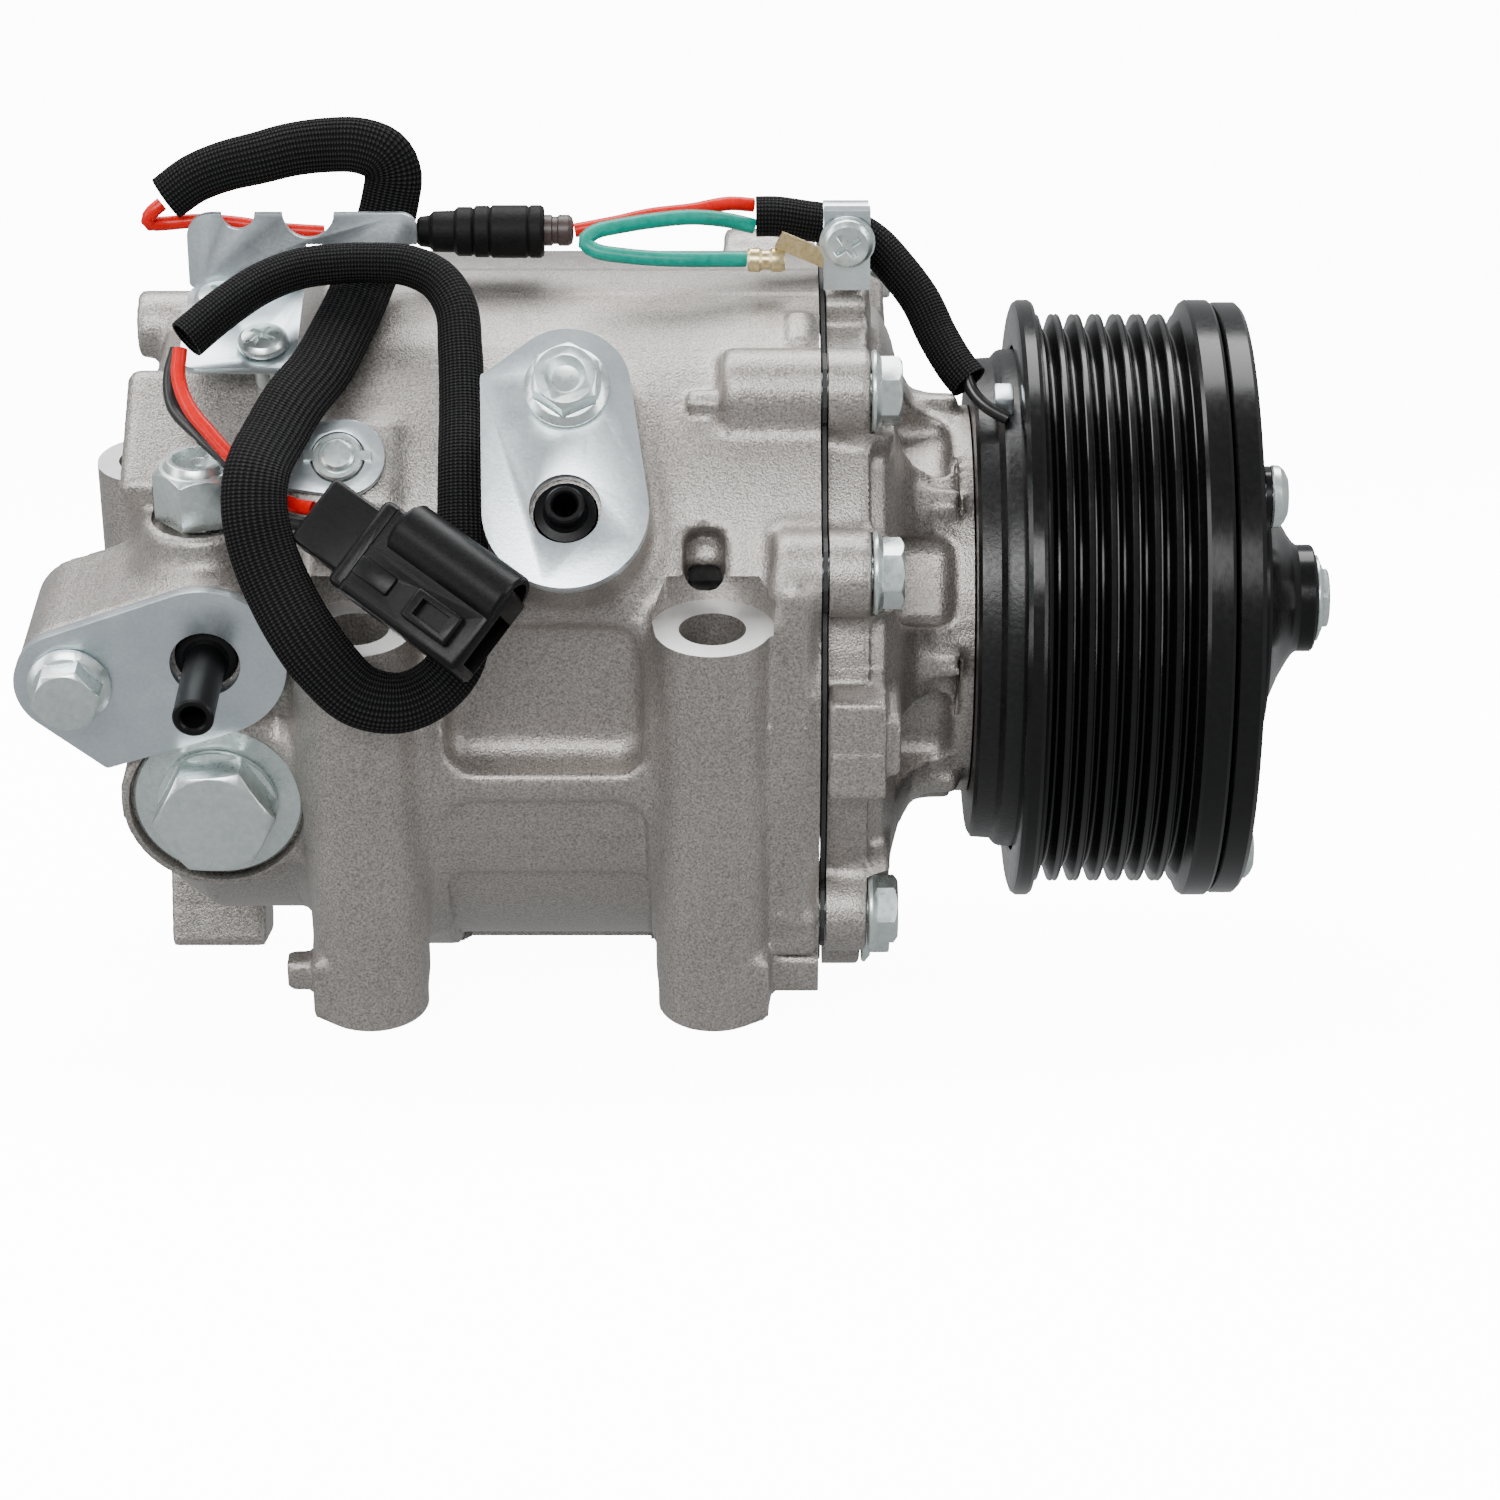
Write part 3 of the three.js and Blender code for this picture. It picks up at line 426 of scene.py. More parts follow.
def upShaft(x):
    # for pieces whose X and Y are the compressor's Y and Z
    return shift(x, 0, 0) @ Matrix(((0, 0, 1, 0), (1, 0, 0, 0), (0, 1, 0, 0), (0, 0, 0, 1)))


# Cords
def blend(a, b, low, high, at):
    return ((high - at) * a + (at - low) * b) / (high - low)


def smoothRoute(points, spacing):
    # centripetal Catmull-Rom through every point, resampled at an even spacing
    p = np.array(points, float)
    p = np.vstack([2 * p[0] - p[1], p, 2 * p[-1] - p[-2]])
    fine = []
    for i in range(len(p) - 3):
        near = p[i:i + 4]
        knots = np.cumsum([0, *(np.linalg.norm(near[k + 1] - near[k]) ** 0.5 for k in range(3))])
        for t in np.linspace(knots[1], knots[2], 24, endpoint=False):
            first = [blend(near[k], near[k + 1], knots[k], knots[k + 1], t) for k in range(3)]
            second = [blend(first[k], first[k + 1], knots[k], knots[k + 2], t) for k in range(2)]
            fine.append(blend(*second, knots[1], knots[2], t))
    fine.append(p[-2])
    fine = np.array(fine)
    gone = np.concatenate([[0], np.cumsum(np.linalg.norm(np.diff(fine, axis=0), axis=1))])
    stations = np.linspace(0, gone[-1], max(int(gone[-1] / spacing), 4) + 1)
    return np.column_stack([np.interp(stations, gone, fine[:, k]) for k in range(3)]), gone[-1]


flatSideFaces = (0, *roundShaft(1, 30))


def sweep(name, route, section, sides, wall=0.0):
    # section(share of the length) gives half the width and half the thickness
    count = len(route)
    along = np.gradient(route, axis=0)
    along /= np.linalg.norm(along, axis=1)[:, None]
    side = np.cross(along, np.array(flatSideFaces))
    for i in range(1, count):
        if side[i] @ side[i - 1] < 0:
            side[i] = -side[i]
    kernel = min(11, count // 2 * 2 - 1)
    padded = np.pad(side, ((kernel // 2, kernel // 2), (0, 0)), mode="edge")
    side = np.stack([np.convolve(padded[:, k], np.ones(kernel) / kernel, "valid") for k in range(3)], 1)
    side -= np.sum(side * along, 1)[:, None] * along
    side /= np.linalg.norm(side, axis=1)[:, None]
    up = np.cross(side, along)
    gone = np.concatenate([[0], np.cumsum(np.linalg.norm(np.diff(route, axis=0), axis=1))])
    angles = [math.tau * i / sides for i in range(sides)]
    layers = [0.0] if not wall else [0.0, wall]
    points = []
    for layer in layers:
        for i in range(count):
            wide, thick = (half - layer for half in section(gone[i] / gone[-1]))
            points += [route[i] + side[i] * wide * math.cos(a) + up[i] * thick * math.sin(a) for a in angles]
    ring = count * sides
    faces = [(low + k, low + (k + 1) % sides, low + sides + (k + 1) % sides, low + sides + k)
             for low in range(0, ring - sides, sides) for k in range(sides)]
    if wall:
        faces += [tuple(ring + index for index in face)[::-1] for face in faces[:]]
        last = (count - 1) * sides
        faces += [(ring + k, ring + (k + 1) % sides, (k + 1) % sides, k) for k in range(sides)]
        faces += [(last + k, last + (k + 1) % sides, ring + last + (k + 1) % sides, ring + last + k)
                  for k in range(sides)]
    else:
        faces += [tuple(range(sides))[::-1], tuple(range(ring - sides, ring))]
    made = meshObject(name, points, faces)
    layer = made.data.uv_layers.new(name="weave")
    corners = np.empty(len(made.data.loops), np.int32)
    made.data.loops.foreach_get("vertex_index", corners)
    place = corners % ring
    u, v = (place % sides) / sides, gone[place // sides] / 10
    start = 0
    for face in made.data.polygons:
        number = face.loop_total
        span = slice(start, start + number)
        if number == 4 and u[span].max() - u[span].min() > 0.5:
            u[span] = np.where(u[span] < 0.5, u[span] + 1, u[span])
        start += number
    layer.data.foreach_set("uv", np.column_stack([u, v]).astype(np.float32).ravel())
    return facedOut(made)


sleeveR = 3.4
wireR = 1.2
cordRoutes = {
    "coil_sleeve": [
        [-10.4, 6, 69], [-7, 6, 69], [-3, 6, 68.4], [4.4, 6, 67], [9, 4.5, 65], [13, 2, 61.5],
        [17, -1, 57], [20, -5, 52], [23, -9, 48.3], [25, -11, 46.5]],
    "ground_wire": [
        [-10.8, 4.2, 68], [-15, 3.4, 69.4], [-21, 1, 71], [-27, -1, 71.3], [-33, -3.2, 71.2],
        [-37, -5, 70.9], [-38.6, -6.4, 69.8], [-37, -7.4, 68.7], [-32, -7.6, 67.8], [-26, -7.4, 67.2],
        [-20, -6.8, 66.8], [-16, -5.6, 66.3], [-12.2, -4.7, 65.9]],
    "power_wire": [
        [-10.8, 7.6, 70.4], [-15, 6.8, 71], [-21, 5, 70.6], [-28, 3.8, 70.2], [-34, 2.8, 69.2],
        [-40.6, 2, 68.2]],
    "harness_sleeve": [
        [-102, -30, 63], [-97, -26, 66], [-91, -21, 68.5], [-85, -17, 69.5], [-79, -15.5, 69.8],
        [-73, -15, 69.8], [-67, -15.5, 69.5], [-62, -18, 68], [-59, -22.5, 65], [-58.2, -28, 60.5],
        [-57.6, -36.5, 53.8], [-57.4, -44, 48.5], [-57.2, -50.5, 41.5], [-57, -56, 34.5],
        [-56.8, -60.5, 28], [-58, -64, 22.5], [-62, -68, 19.5], [-67, -71, 19], [-73, -72, 21],
        [-78, -71, 26], [-82, -68.5, 31], [-85.5, -64.5, 36], [-88, -61, 41], [-89.3, -57.6, 46.4],
        [-89, -53, 51], [-86.5, -45, 54], [-84, -39, 56.5], [-80.5, -31.5, 58.5], [-78, -23.5, 60.8],
        [-76, -15.5, 62.8], [-74.5, -8.5, 64.8], [-73, -1.5, 67], [-72, 1, 70], [-71, 2.5, 74],
        [-70.5, 3, 78], [-72, 3.5, 81], [-76, 4, 82.5], [-81, 4, 82.6], [-87, 2, 82.6], [-92, 0, 82],
        [-98, -1, 80.8], [-103, -2, 79], [-107.5, -3, 76]],
    "top_wire": [
        [-108.2, -3.2, 75.2], [-110.2, -4, 73.6], [-110.6, -3.4, 71.8], [-108.4, -2.6, 71.4],
        [-103, -2, 71.6], [-97, -1.4, 71], [-90, -1.2, 69.8], [-82, -1.2, 69.2]],
    "switch_wire_red": [
        [-102.9, -31.6, 62], [-103, -35, 58.6], [-101, -39.4, 55.4], [-97.6, -42.8, 52.6],
        [-93, -46.6, 49], [-88, -49.8, 45.6], [-84, -51.6, 44.2], [-80.6, -53, 44.2]],
    "switch_wire_black": [
        [-103.8, -28.6, 60.6], [-104.8, -31.6, 57.2], [-104, -35.4, 53.6], [-99.4, -40.6, 51],
        [-92.4, -45.6, 46.2], [-88.5, -48.2, 41.6], [-84.5, -50.2, 40.4], [-80.6, -51.8, 40.6]],
}


def flattened(share):
    # half the width and half the thickness: round at the open end by the connector, flat along the loop
    stations = (0, 0.12, 0.3, 0.42, 0.5, 0.8, 0.93, 1)
    return (np.interp(share, stations, (3.4, 3.3, 3.9, 4.6, 5.4, 5.0, 4.4, 3.9)),
            np.interp(share, stations, (3.2, 3.2, 2.4, 1.9, 1.7, 1.8, 2.2, 2.6)))


def evenly(r):
    return lambda share: (r, r)


cordKinds = {
    # section, sides, wall, finish, slot, diameter, far end
    "coil_sleeve": (evenly(sleeveR), 28, 0.5, roundBraid, "braid", 6.8, "object"),
    "harness_sleeve": (flattened, 40, 0.5, roundBraid, "braid", 8.4, "bare"),
    "ground_wire": (evenly(wireR + 0.1), 16, 0, greenInsulation, "green_wire", 2.6, "fitting"),
    "power_wire": (evenly(wireR), 16, 0, redInsulation, "red_wire", 2.4, "plug"),
    "top_wire": (evenly(wireR), 16, 0, redInsulation, "red_wire", 2.4, "object"),
    "switch_wire_red": (evenly(wireR), 16, 0, redInsulation, "red_wire", 2.4, "connector"),
    "switch_wire_black": (evenly(wireR), 16, 0, blackInsulation, "black_wire", 2.4, "object"),
}
for name, (section, sides, wall, material, slotName, diameter, farEnd) in cordKinds.items():
    route, length = smoothRoute(cordRoutes[name], 1.0)
    piece = sweep(name + "_cord", route, section, sides, wall)
    settle(piece, "housing", material, [name], 60)
print("cords laid")


# Castings: distance fields joined with fillets, meshed on a grid, then machined with exact cutters
class Casting:
    def __init__(self, low, high, step):
        self.low, self.step = np.array(low, float), step
        self.axes = [np.arange(a, b + step, step, dtype=np.float32) for a, b in zip(low, high)]
        self.field = np.full([len(axis) for axis in self.axes], 40.0, np.float32)

    def window(self, low, high, margin):
        spans = []
        for axis, a, b in zip(self.axes, low, high):
            start, stop = np.searchsorted(axis, [a - margin, b + margin])
            spans.append(slice(max(int(start), 0), int(stop)))
        x, y, z = (axis[span] for axis, span in zip(self.axes, spans))
        return tuple(spans), x[:, None, None], y[None, :, None], z[None, None, :]

    def join(self, shape, fillet=2.5, sign=1):
        distance, low, high = shape
        spans, x, y, z = self.window(low, high, fillet * 2 + 3)
        here, other = self.field[spans], sign * distance(x, y, z)
        share = np.clip(0.5 + sign * 0.5 * (here - other) / fillet, 0, 1)
        self.field[spans] = here * (1 - share) + other * share - sign * fillet * share * (1 - share)

    def carve(self, shape, fillet=1.5):
        self.join(shape, fillet, -1)

    def mesh(self, name):
        field, shape = self.field, self.field.shape
        inside = field < 0
        offsets = [(i, j, k) for i in (0, 1) for j in (0, 1) for k in (0, 1)]
        corners = [tuple(slice(o, n - 1 + o) for o, n in zip(offset, shape)) for offset in offsets]
        count = sum(inside[corner].astype(np.uint8) for corner in corners)
        active = (count > 0) & (count < 8)
        ids = np.full(active.shape, -1, np.int32)
        cells = np.argwhere(active)
        ids[active] = np.arange(len(cells))
        value = np.stack([field[corner][active] for corner in corners], 1).reshape(-1, 2, 2, 2).astype(float)
        spot = np.full((len(cells), 3), 0.5)
        for _ in range(8):
            x, y, z = spot.T
            alongX = value[:, 0] * (1 - x)[:, None, None] + value[:, 1] * x[:, None, None]
            slopeX = value[:, 1] - value[:, 0]
            alongY = alongX[:, 0] * (1 - y)[:, None] + alongX[:, 1] * y[:, None]
            slopeY = alongX[:, 1] - alongX[:, 0]
            level = alongY[:, 0] * (1 - z) + alongY[:, 1] * z
            gz = alongY[:, 1] - alongY[:, 0]
            gy = slopeY[:, 0] * (1 - z) + slopeY[:, 1] * z
            gxy = slopeX[:, 0] * (1 - y)[:, None] + slopeX[:, 1] * y[:, None]
            gx = gxy[:, 0] * (1 - z) + gxy[:, 1] * z
            slope = np.stack([gx, gy, gz], 1)
            spot -= 0.7 * level[:, None] * slope / np.maximum((slope ** 2).sum(1), 1e-6)[:, None]
            spot = np.clip(spot, 0.02, 0.98)
        points = self.low + (cells + spot) * self.step
        faces = []
        for axis in range(3):
            b, c = (axis + 1) % 3, (axis + 2) % 3
            near = [slice(None)] * 3
            far = [slice(None)] * 3
            near[axis], far[axis] = slice(0, -1), slice(1, None)
            near, far = inside[tuple(near)], inside[tuple(far)]
            crossing = np.argwhere(near != far)
            keep = ((crossing[:, b] > 0) & (crossing[:, c] > 0)
                    & (crossing[:, b] < shape[b] - 1) & (crossing[:, c] < shape[c] - 1))
            crossing = crossing[keep]
            outward = near[tuple(crossing.T)]
            ring = []
            for db, dc in ((-1, -1), (0, -1), (0, 0), (-1, 0)):
                cell = crossing.copy()
                cell[:, b] += db
                cell[:, c] += dc
                ring.append(ids[tuple(cell.T)])
            quads = np.stack(ring, 1)
            quads[~outward] = quads[~outward][:, ::-1]
            faces.append(quads)
        return meshObject(name, points.tolist(), np.concatenate(faces).tolist())


def bar(axis, r, low, high, at, rounding=1.0):
    others = [k for k in range(3) if k != axis]

    def distance(*place):
        across = np.hypot(place[others[0]] - at[0], place[others[1]] - at[1]) - r + rounding
        along = np.abs(place[axis] - (low + high) / 2) - (high - low) / 2 + rounding
        return roundedCorner(across, along) - rounding
    corners = [[0, 0, 0], [0, 0, 0]]
    corners[0][axis], corners[1][axis] = low, high
    for k, centre in zip(others, at):
        corners[0][k], corners[1][k] = centre - r, centre + r
    return distance, corners[0], corners[1]


def roundedCorner(a, b):
    return np.minimum(np.maximum(a, b), 0) + np.hypot(np.maximum(a, 0), np.maximum(b, 0))


def brick(size, at, lean=0.0, rounding=1.0):
    # a block turned by lean degrees about X
    turn = np.array(Matrix.Rotation(math.radians(lean), 3, "X"))
    half = np.array(size) / 2

    def distance(x, y, z):
        d = [x - at[0], y - at[1], z - at[2]]
        own = [sum(turn[row][k] * d[row] for row in range(3)) for k in range(3)]
        q = [np.abs(own[k]) - half[k] + rounding for k in range(3)]
        outside = np.sqrt(np.maximum(q[0], 0) ** 2 + np.maximum(q[1], 0) ** 2 + np.maximum(q[2], 0) ** 2)
        return outside + np.minimum(np.maximum(np.maximum(q[0], q[1]), q[2]), 0) - rounding
    reach = np.abs(turn) @ half
    return distance, list(np.array(at) - reach), list(np.array(at) + reach)


def radialBrick(x0, x1, r0, r1, width, angle, rounding=1.0):
    middle = ((x0 + x1) / 2, *roundShaft((r0 + r1) / 2, angle))
    return brick((x1 - x0, width, r1 - r0), middle, 90 - angle, rounding)


def spun(profile, rounding=0.0):
    # a closed [x, radius] outline spun about the shaft
    def distance(x, y, z):
        r = np.hypot(y, z)
        table = np.arange(0, 90, 0.25, dtype=np.float32)
        px, pr = x[:, 0, 0][:, None], table[None, :]
        best = np.full((px.shape[0], table.size), 1e9, np.float32)
        sign = np.ones_like(best)
        for (ax, ar), (bx, br) in zip(profile, profile[1:] + profile[:1]):
            ex, er, wx, wr = bx - ax, br - ar, px - ax, pr - ar
            t = np.clip((wx * ex + wr * er) / max(ex * ex + er * er, 1e-9), 0, 1)
            best = np.minimum(best, (wx - ex * t) ** 2 + (wr - er * t) ** 2)
            above, below, left = pr >= ar, pr < br, ex * wr > er * wx
            sign = np.where((above & below & left) | (~above & ~below & ~left), -sign, sign)
        flat = sign * np.sqrt(best) - rounding
        position = np.clip(r[0] / 0.25, 0, table.size - 2)
        whole = position.astype(np.int32)
        share = (position - whole)[None]
        return flat[:, whole] * (1 - share) + flat[:, whole + 1] * share
    xs, rs = [p[0] for p in profile], [p[1] for p in profile]
    return distance, [min(xs), -max(rs), -max(rs)], [max(xs), max(rs), max(rs)]


def strapBlock(frameOf, discs, depth, rounding=1.5):
    # two discs and all between them, with its face on the frame's XY plane and depth behind it
    into = np.array(frameOf.inverted())
    (ax, ay, ar), (bx, by, br) = discs
    ex, ey = bx - ax, by - ay
    span = ex * ex + ey * ey

    def distance(x, y, z):
        u = into[0, 0] * x + into[0, 1] * y + into[0, 2] * z + into[0, 3]
        v = into[1, 0] * x + into[1, 1] * y + into[1, 2] * z + into[1, 3]
        w = into[2, 0] * x + into[2, 1] * y + into[2, 2] * z + into[2, 3]
        t = np.clip(((u - ax) * ex + (v - ay) * ey) / span, 0, 1)
        flat = np.hypot(u - ax - t * ex, v - ay - t * ey) - (ar + t * (br - ar)) + rounding
        return roundedCorner(flat, np.abs(w + depth / 2) - depth / 2 + rounding) - rounding
    spots = [frameOf @ Vector((x + sx * r, y + sy * r, z))
             for x, y, r in discs for sx in (-1, 1) for sy in (-1, 1) for z in (0, -depth)]
    low, high = ([pick(spot[k] for spot in spots) for k in range(3)] for pick in (min, max))
    return distance, low, high


def shallowPanel(x0, x1, z0, z1, floorR, corner):
    # a rounded rectangle seen from the front, cut down to a cylinder about the shaft
    def distance(x, y, z):
        qx = np.abs(x - (x0 + x1) / 2) - (x1 - x0) / 2 + corner
        qz = np.abs(z - (z0 + z1) / 2) - (z1 - z0) / 2 + corner
        return np.maximum(np.maximum(roundedCorner(qx, qz) - corner, floorR - np.hypot(y, z)), y + 20)
    return distance, [x0, -66, z0], [x1, -25, z1]


body = {"r": 60, "rearR": 53.5, "rearX": -112, "cavityR": 50, "cavityX": -76, "grid": 1.0}
bosses = {"r": 9.3, "hole": 5.4, "y": -58, "top": 25.2, "bottom": -45.6, "xs": [-74.4, -17.4], "spare": 1.5}
rearBoss = {"x": -121, "y": 45, "top": 4.6, "bottom": -36}
bossNubs = [  # size, place, rounding, fillet
    ((11, 13, 11.6), (-78.4, -58.5, -39.5), 1.2, 1), ((7, 5, 5.6), (-85, -58, -39.5), 1, 0.8),
    ((11, 13, 12), (-13.7, -58.5, -39.4), 1.2, 1), ((9, 6, 7), (-3.6, -56, -40), 1.2, 1),
    ((7.4, 12, 7.6), (-4.3, -54, -31.9), 1, 1)]
foot = {"size": (17, 15, 30), "x": -107.5, "back": 28, "down": 51.3}
boltCircle = {"r": 60, "angles": [62, 31.8, -32, -77, -145, 132], "lobeR": 6.8,
              "lugs": [16, 7.5, 16, 16, 16, 16]}
boltHoleR = 3.3
suctionPort = {"bolt": (-120.9, 14.5), "port": (-98.9, 18.2), "faceY": -54.3, "corner": (-115.8, 0)}
dischargePort = {"x": -40.5, "angle": 46, "faceR": 69.6, "bolt": (0, 11.5), "port": (0, -8.7),
                 "corner": (-12.8, 13.2)}
suctionDiscs = [(*suctionPort["bolt"], 8.9), (*suctionPort["port"], 12.9)]
dischargeDiscs = [(*dischargePort["bolt"], 10), (*dischargePort["port"], 13)]
oilPlug = {"x": -98.7, "z": -8.8, "seatY": -52.7, "washerR": 13.9, "washerT": 1.3, "head": 17.6, "high": 7.6,
           "boreR": 7.9}
reliefValve = {"x": -100.3, "y": -40.5, "z": 36.6, "flats": 12.6, "high": 10.4}
switchAt = {"x": -77.5, "angle": 49, "sheetR": 61.8, "holeR": 3.1}
portR = 5.2


def atBolt(i):
    return alongShaft(0, boltCircle["r"], boltCircle["angles"][i])


def boltCentre(i):
    return roundShaft(boltCircle["r"], boltCircle["angles"][i])


def machined(made, cutters):
    # takes all the cutters away as one tool
    tool = cutters[0]
    for cutter in cutters[1:]:
        combine(tool, cutter, "UNION")
    return combine(made, tool)


def rearCasting():
    cast = Casting((-132.37, -69.41, -79.23), (5, 63, 70), body["grid"])
    r, rearR, rearX = body["r"], body["rearR"], body["rearX"]
    cast.join(spun([(rearX, 0), (rearX, 42), (-109.5, 49), (-103, rearR), (-88, rearR), (-82, r), (3, r),
                    (3, 0)]), 0.5)
    spots = [(x, bosses["y"], bosses["top"], bosses["bottom"]) for x in bosses["xs"]]
    spots.append(tuple(rearBoss[key] for key in ("x", "y", "top", "bottom")))
    for x, y, top, bottom in spots:
        front = x in bosses["xs"]
        if front:
            cast.join(brick((2 * bosses["r"] - 2, 16, 62), (x, -50, -10), rounding=2), 5)
        cast.join(bar(2, bosses["r"], bottom - bosses["spare"], top + bosses["spare"], (x, y), 0.3),
                  3.5 if front else 3)
    cast.join(brick((24, 16, 34), (-108, 40, -15.7), rounding=2), 4)
    for i, length in enumerate(boltCircle["lugs"]):
        cast.join(bar(0, boltCircle["lobeR"] + 0.2, -length, 3, boltCentre(i), 1.5), 3)
    plugSpot = (oilPlug["x"], oilPlug["z"])
    valveSpot = (reliefValve["x"], reliefValve["y"])
    cast.join(strapBlock(onFront(suctionPort["faceY"]), suctionDiscs, 26, 1.2), 4)
    slope = onSlope(dischargePort["x"], dischargePort["faceR"], dischargePort["angle"])
    cast.join(strapBlock(slope, [(x, y, r - 0.3) for x, y, r in dischargeDiscs], 20, 1.0), 5)
    cast.join(bar(1, oilPlug["washerR"] + 2, suctionPort["faceY"] - 1.2, -30, plugSpot, 0.8), 4)
    cast.join(bar(2, 9.4, 8, reliefValve["z"], valveSpot, 0.8), 4)
    cast.join(radialBrick(-113.5, -88, 40, 55.5, 24, 58, 2), 3)
    cast.join(bar(0, 5.7, -115.3, -98, (10, 47.5), 0.6), 2)
    lean = math.radians(-rollDeg)
    footY = foot["back"] * math.cos(lean) + foot["down"] * math.sin(lean)
    footZ = foot["back"] * math.sin(lean) - foot["down"] * math.cos(lean)
    cast.join(brick(foot["size"], (foot["x"], footY, footZ), -rollDeg, 0.8), 1.5)
    cast.join(radialBrick(switchAt["x"] - 9, switchAt["x"] + 9, 50, 60.9, 15, switchAt["angle"], 1.5), 3)
    for size, at, rounding, fillet in bossNubs:
        cast.join(brick(size, at, rounding=rounding), fillet)
    cast.join(bar(2, 3.7, -30, 34, (-4.6, -57), 2.5), 2.5)
    # nub and raised edge beside the upper bolt lug
    cast.join(radialBrick(-21.5, -15, 57, 62.4, 3.6, 59.4, 0.8), 1)
    cast.join(radialBrick(-5.4, -1, 57, 61.2, 8, 75, 1), 1)
    # pocket between the bosses, the panel below it and the relieved underside
    cast.carve(brick((32, 16, 25.5), (-44.6, -60.6, 12), rounding=4.5), 1.6)
    cast.carve(shallowPanel(-61, -28.4, -40, -6, 59.1, 4.5), 0.5)
    cast.carve(shallowPanel(-61.5, -28, -56, -22.4, 57.9, 3.5), 0.4)
    # slot above the right boss
    cast.carve(radialBrick(-22.1, -15.4, 52, 66, 9.5, 34.4, 2.6), 0.8)
    cast.carve(radialBrick(-21.6, -15.9, 42, 56, 4.5, 31.5, 1.5), 0.6)
    made = cast.mesh("rear_casting")
    innerR, innerX = body["cavityR"], body["cavityX"]
    cavity = turned("cavity", [(0, -104), (38, -104), (38, innerX), (innerR, innerX), (innerR, 1), (0, 1)],
                    96)
    cutters = [block("face", (10, 160, 160), (5, 0, 0)), laid(cavity, alongShaft(0))]
    for x, y, top, bottom in spots:
        cutters += [rod("above", bosses["r"] + 0.7, top, top + 6, (x, y), 64),
                    rod("below", bosses["r"] + 4, bottom - 6, bottom, (x, y)),
                    rod("hole", bosses["hole"], bottom - 1, top + 1, (x, y), 40)]
    for i, length in enumerate(boltCircle["lugs"]):
        cutters.append(laid(rod("hole", boltHoleR, 1.8 - length, 1, sides=24), atBolt(i)))
    face, seat = onFront(suctionPort["faceY"]), onFront(oilPlug["seatY"])
    for r, low, high, spot, sides, place in (
            (portR, -29, 1, suctionPort["port"], 32, face),
            (boltHoleR, -14, 1, suctionPort["bolt"], 32, face),
            (portR, -28, 3, dischargePort["port"], 32, slope),
            (boltHoleR, -15, 3, dischargePort["bolt"], 32, slope),
            (oilPlug["washerR"] + 0.6, 0, 8, plugSpot, 64, seat),
            (oilPlug["boreR"], -24, 8, plugSpot, 64, seat)):
        cutters.append(laid(rod("hole", r, low, high, spot, sides), place))
    cutters += [rod("hole", 4.6, 8, 45, valveSpot),
                rod("seat", 7.9, reliefValve["z"] - 1.2, 50, valveSpot, 48),
                laid(rod("hole", switchAt["holeR"], 40, 64), onSlope(switchAt["x"], 0, switchAt["angle"]))]
    return machined(made, cutters), spots


def machinedFaces(made, tests):
    # faces flat on a machined plane get the second finish
    mesh = made.data
    centres = np.empty(len(mesh.polygons) * 3, np.float32)
    normals = np.empty_like(centres)
    mesh.polygons.foreach_get("center", centres)
    mesh.polygons.foreach_get("normal", normals)
    centres, normals = centres.reshape(-1, 3), normals.reshape(-1, 3)
    marks = np.zeros(len(mesh.polygons), np.int32)
    for axis, sign, level, middle, reach in tests:
        near = np.abs(centres[:, axis] - level) < 0.03
        facing = normals[:, axis] * sign > 0.98
        others = [k for k in range(3) if k != axis]
        close = np.hypot(centres[:, others[0]] - middle[0], centres[:, others[1]] - middle[1]) < reach
        marks[near & facing & close] = 1
    return marks


def settleCasting(made, node, tests):
    marks = machinedFaces(made, tests)
    settle(made, "housing", [castAluminium, machinedAluminium], [node], 50)
    made.data.polygons.foreach_set("material_index", marks)
    print(made.name, "made,", len(made.data.polygons), "faces")


rearPiece, bossSpots = rearCasting()
settleCasting(rearPiece, "rear_housing", [(0, 1, 0.0, (0, 0), 90)] + [
    (2, sign, level, (x, y), 14)
    for x, y, top, bottom in bossSpots for sign, level in ((1, top), (-1, bottom))])


flange = {"x": 1.3, "r": 56, "thick": 6.7, "lugY": -4, "lugTop": 72, "screw": (4.6, 70)}
headX = flange["x"] + flange["thick"] + clearance
neck = {"r": 33.5, "end": 26, "noseR": 17.5, "noseEnd": 58.5}


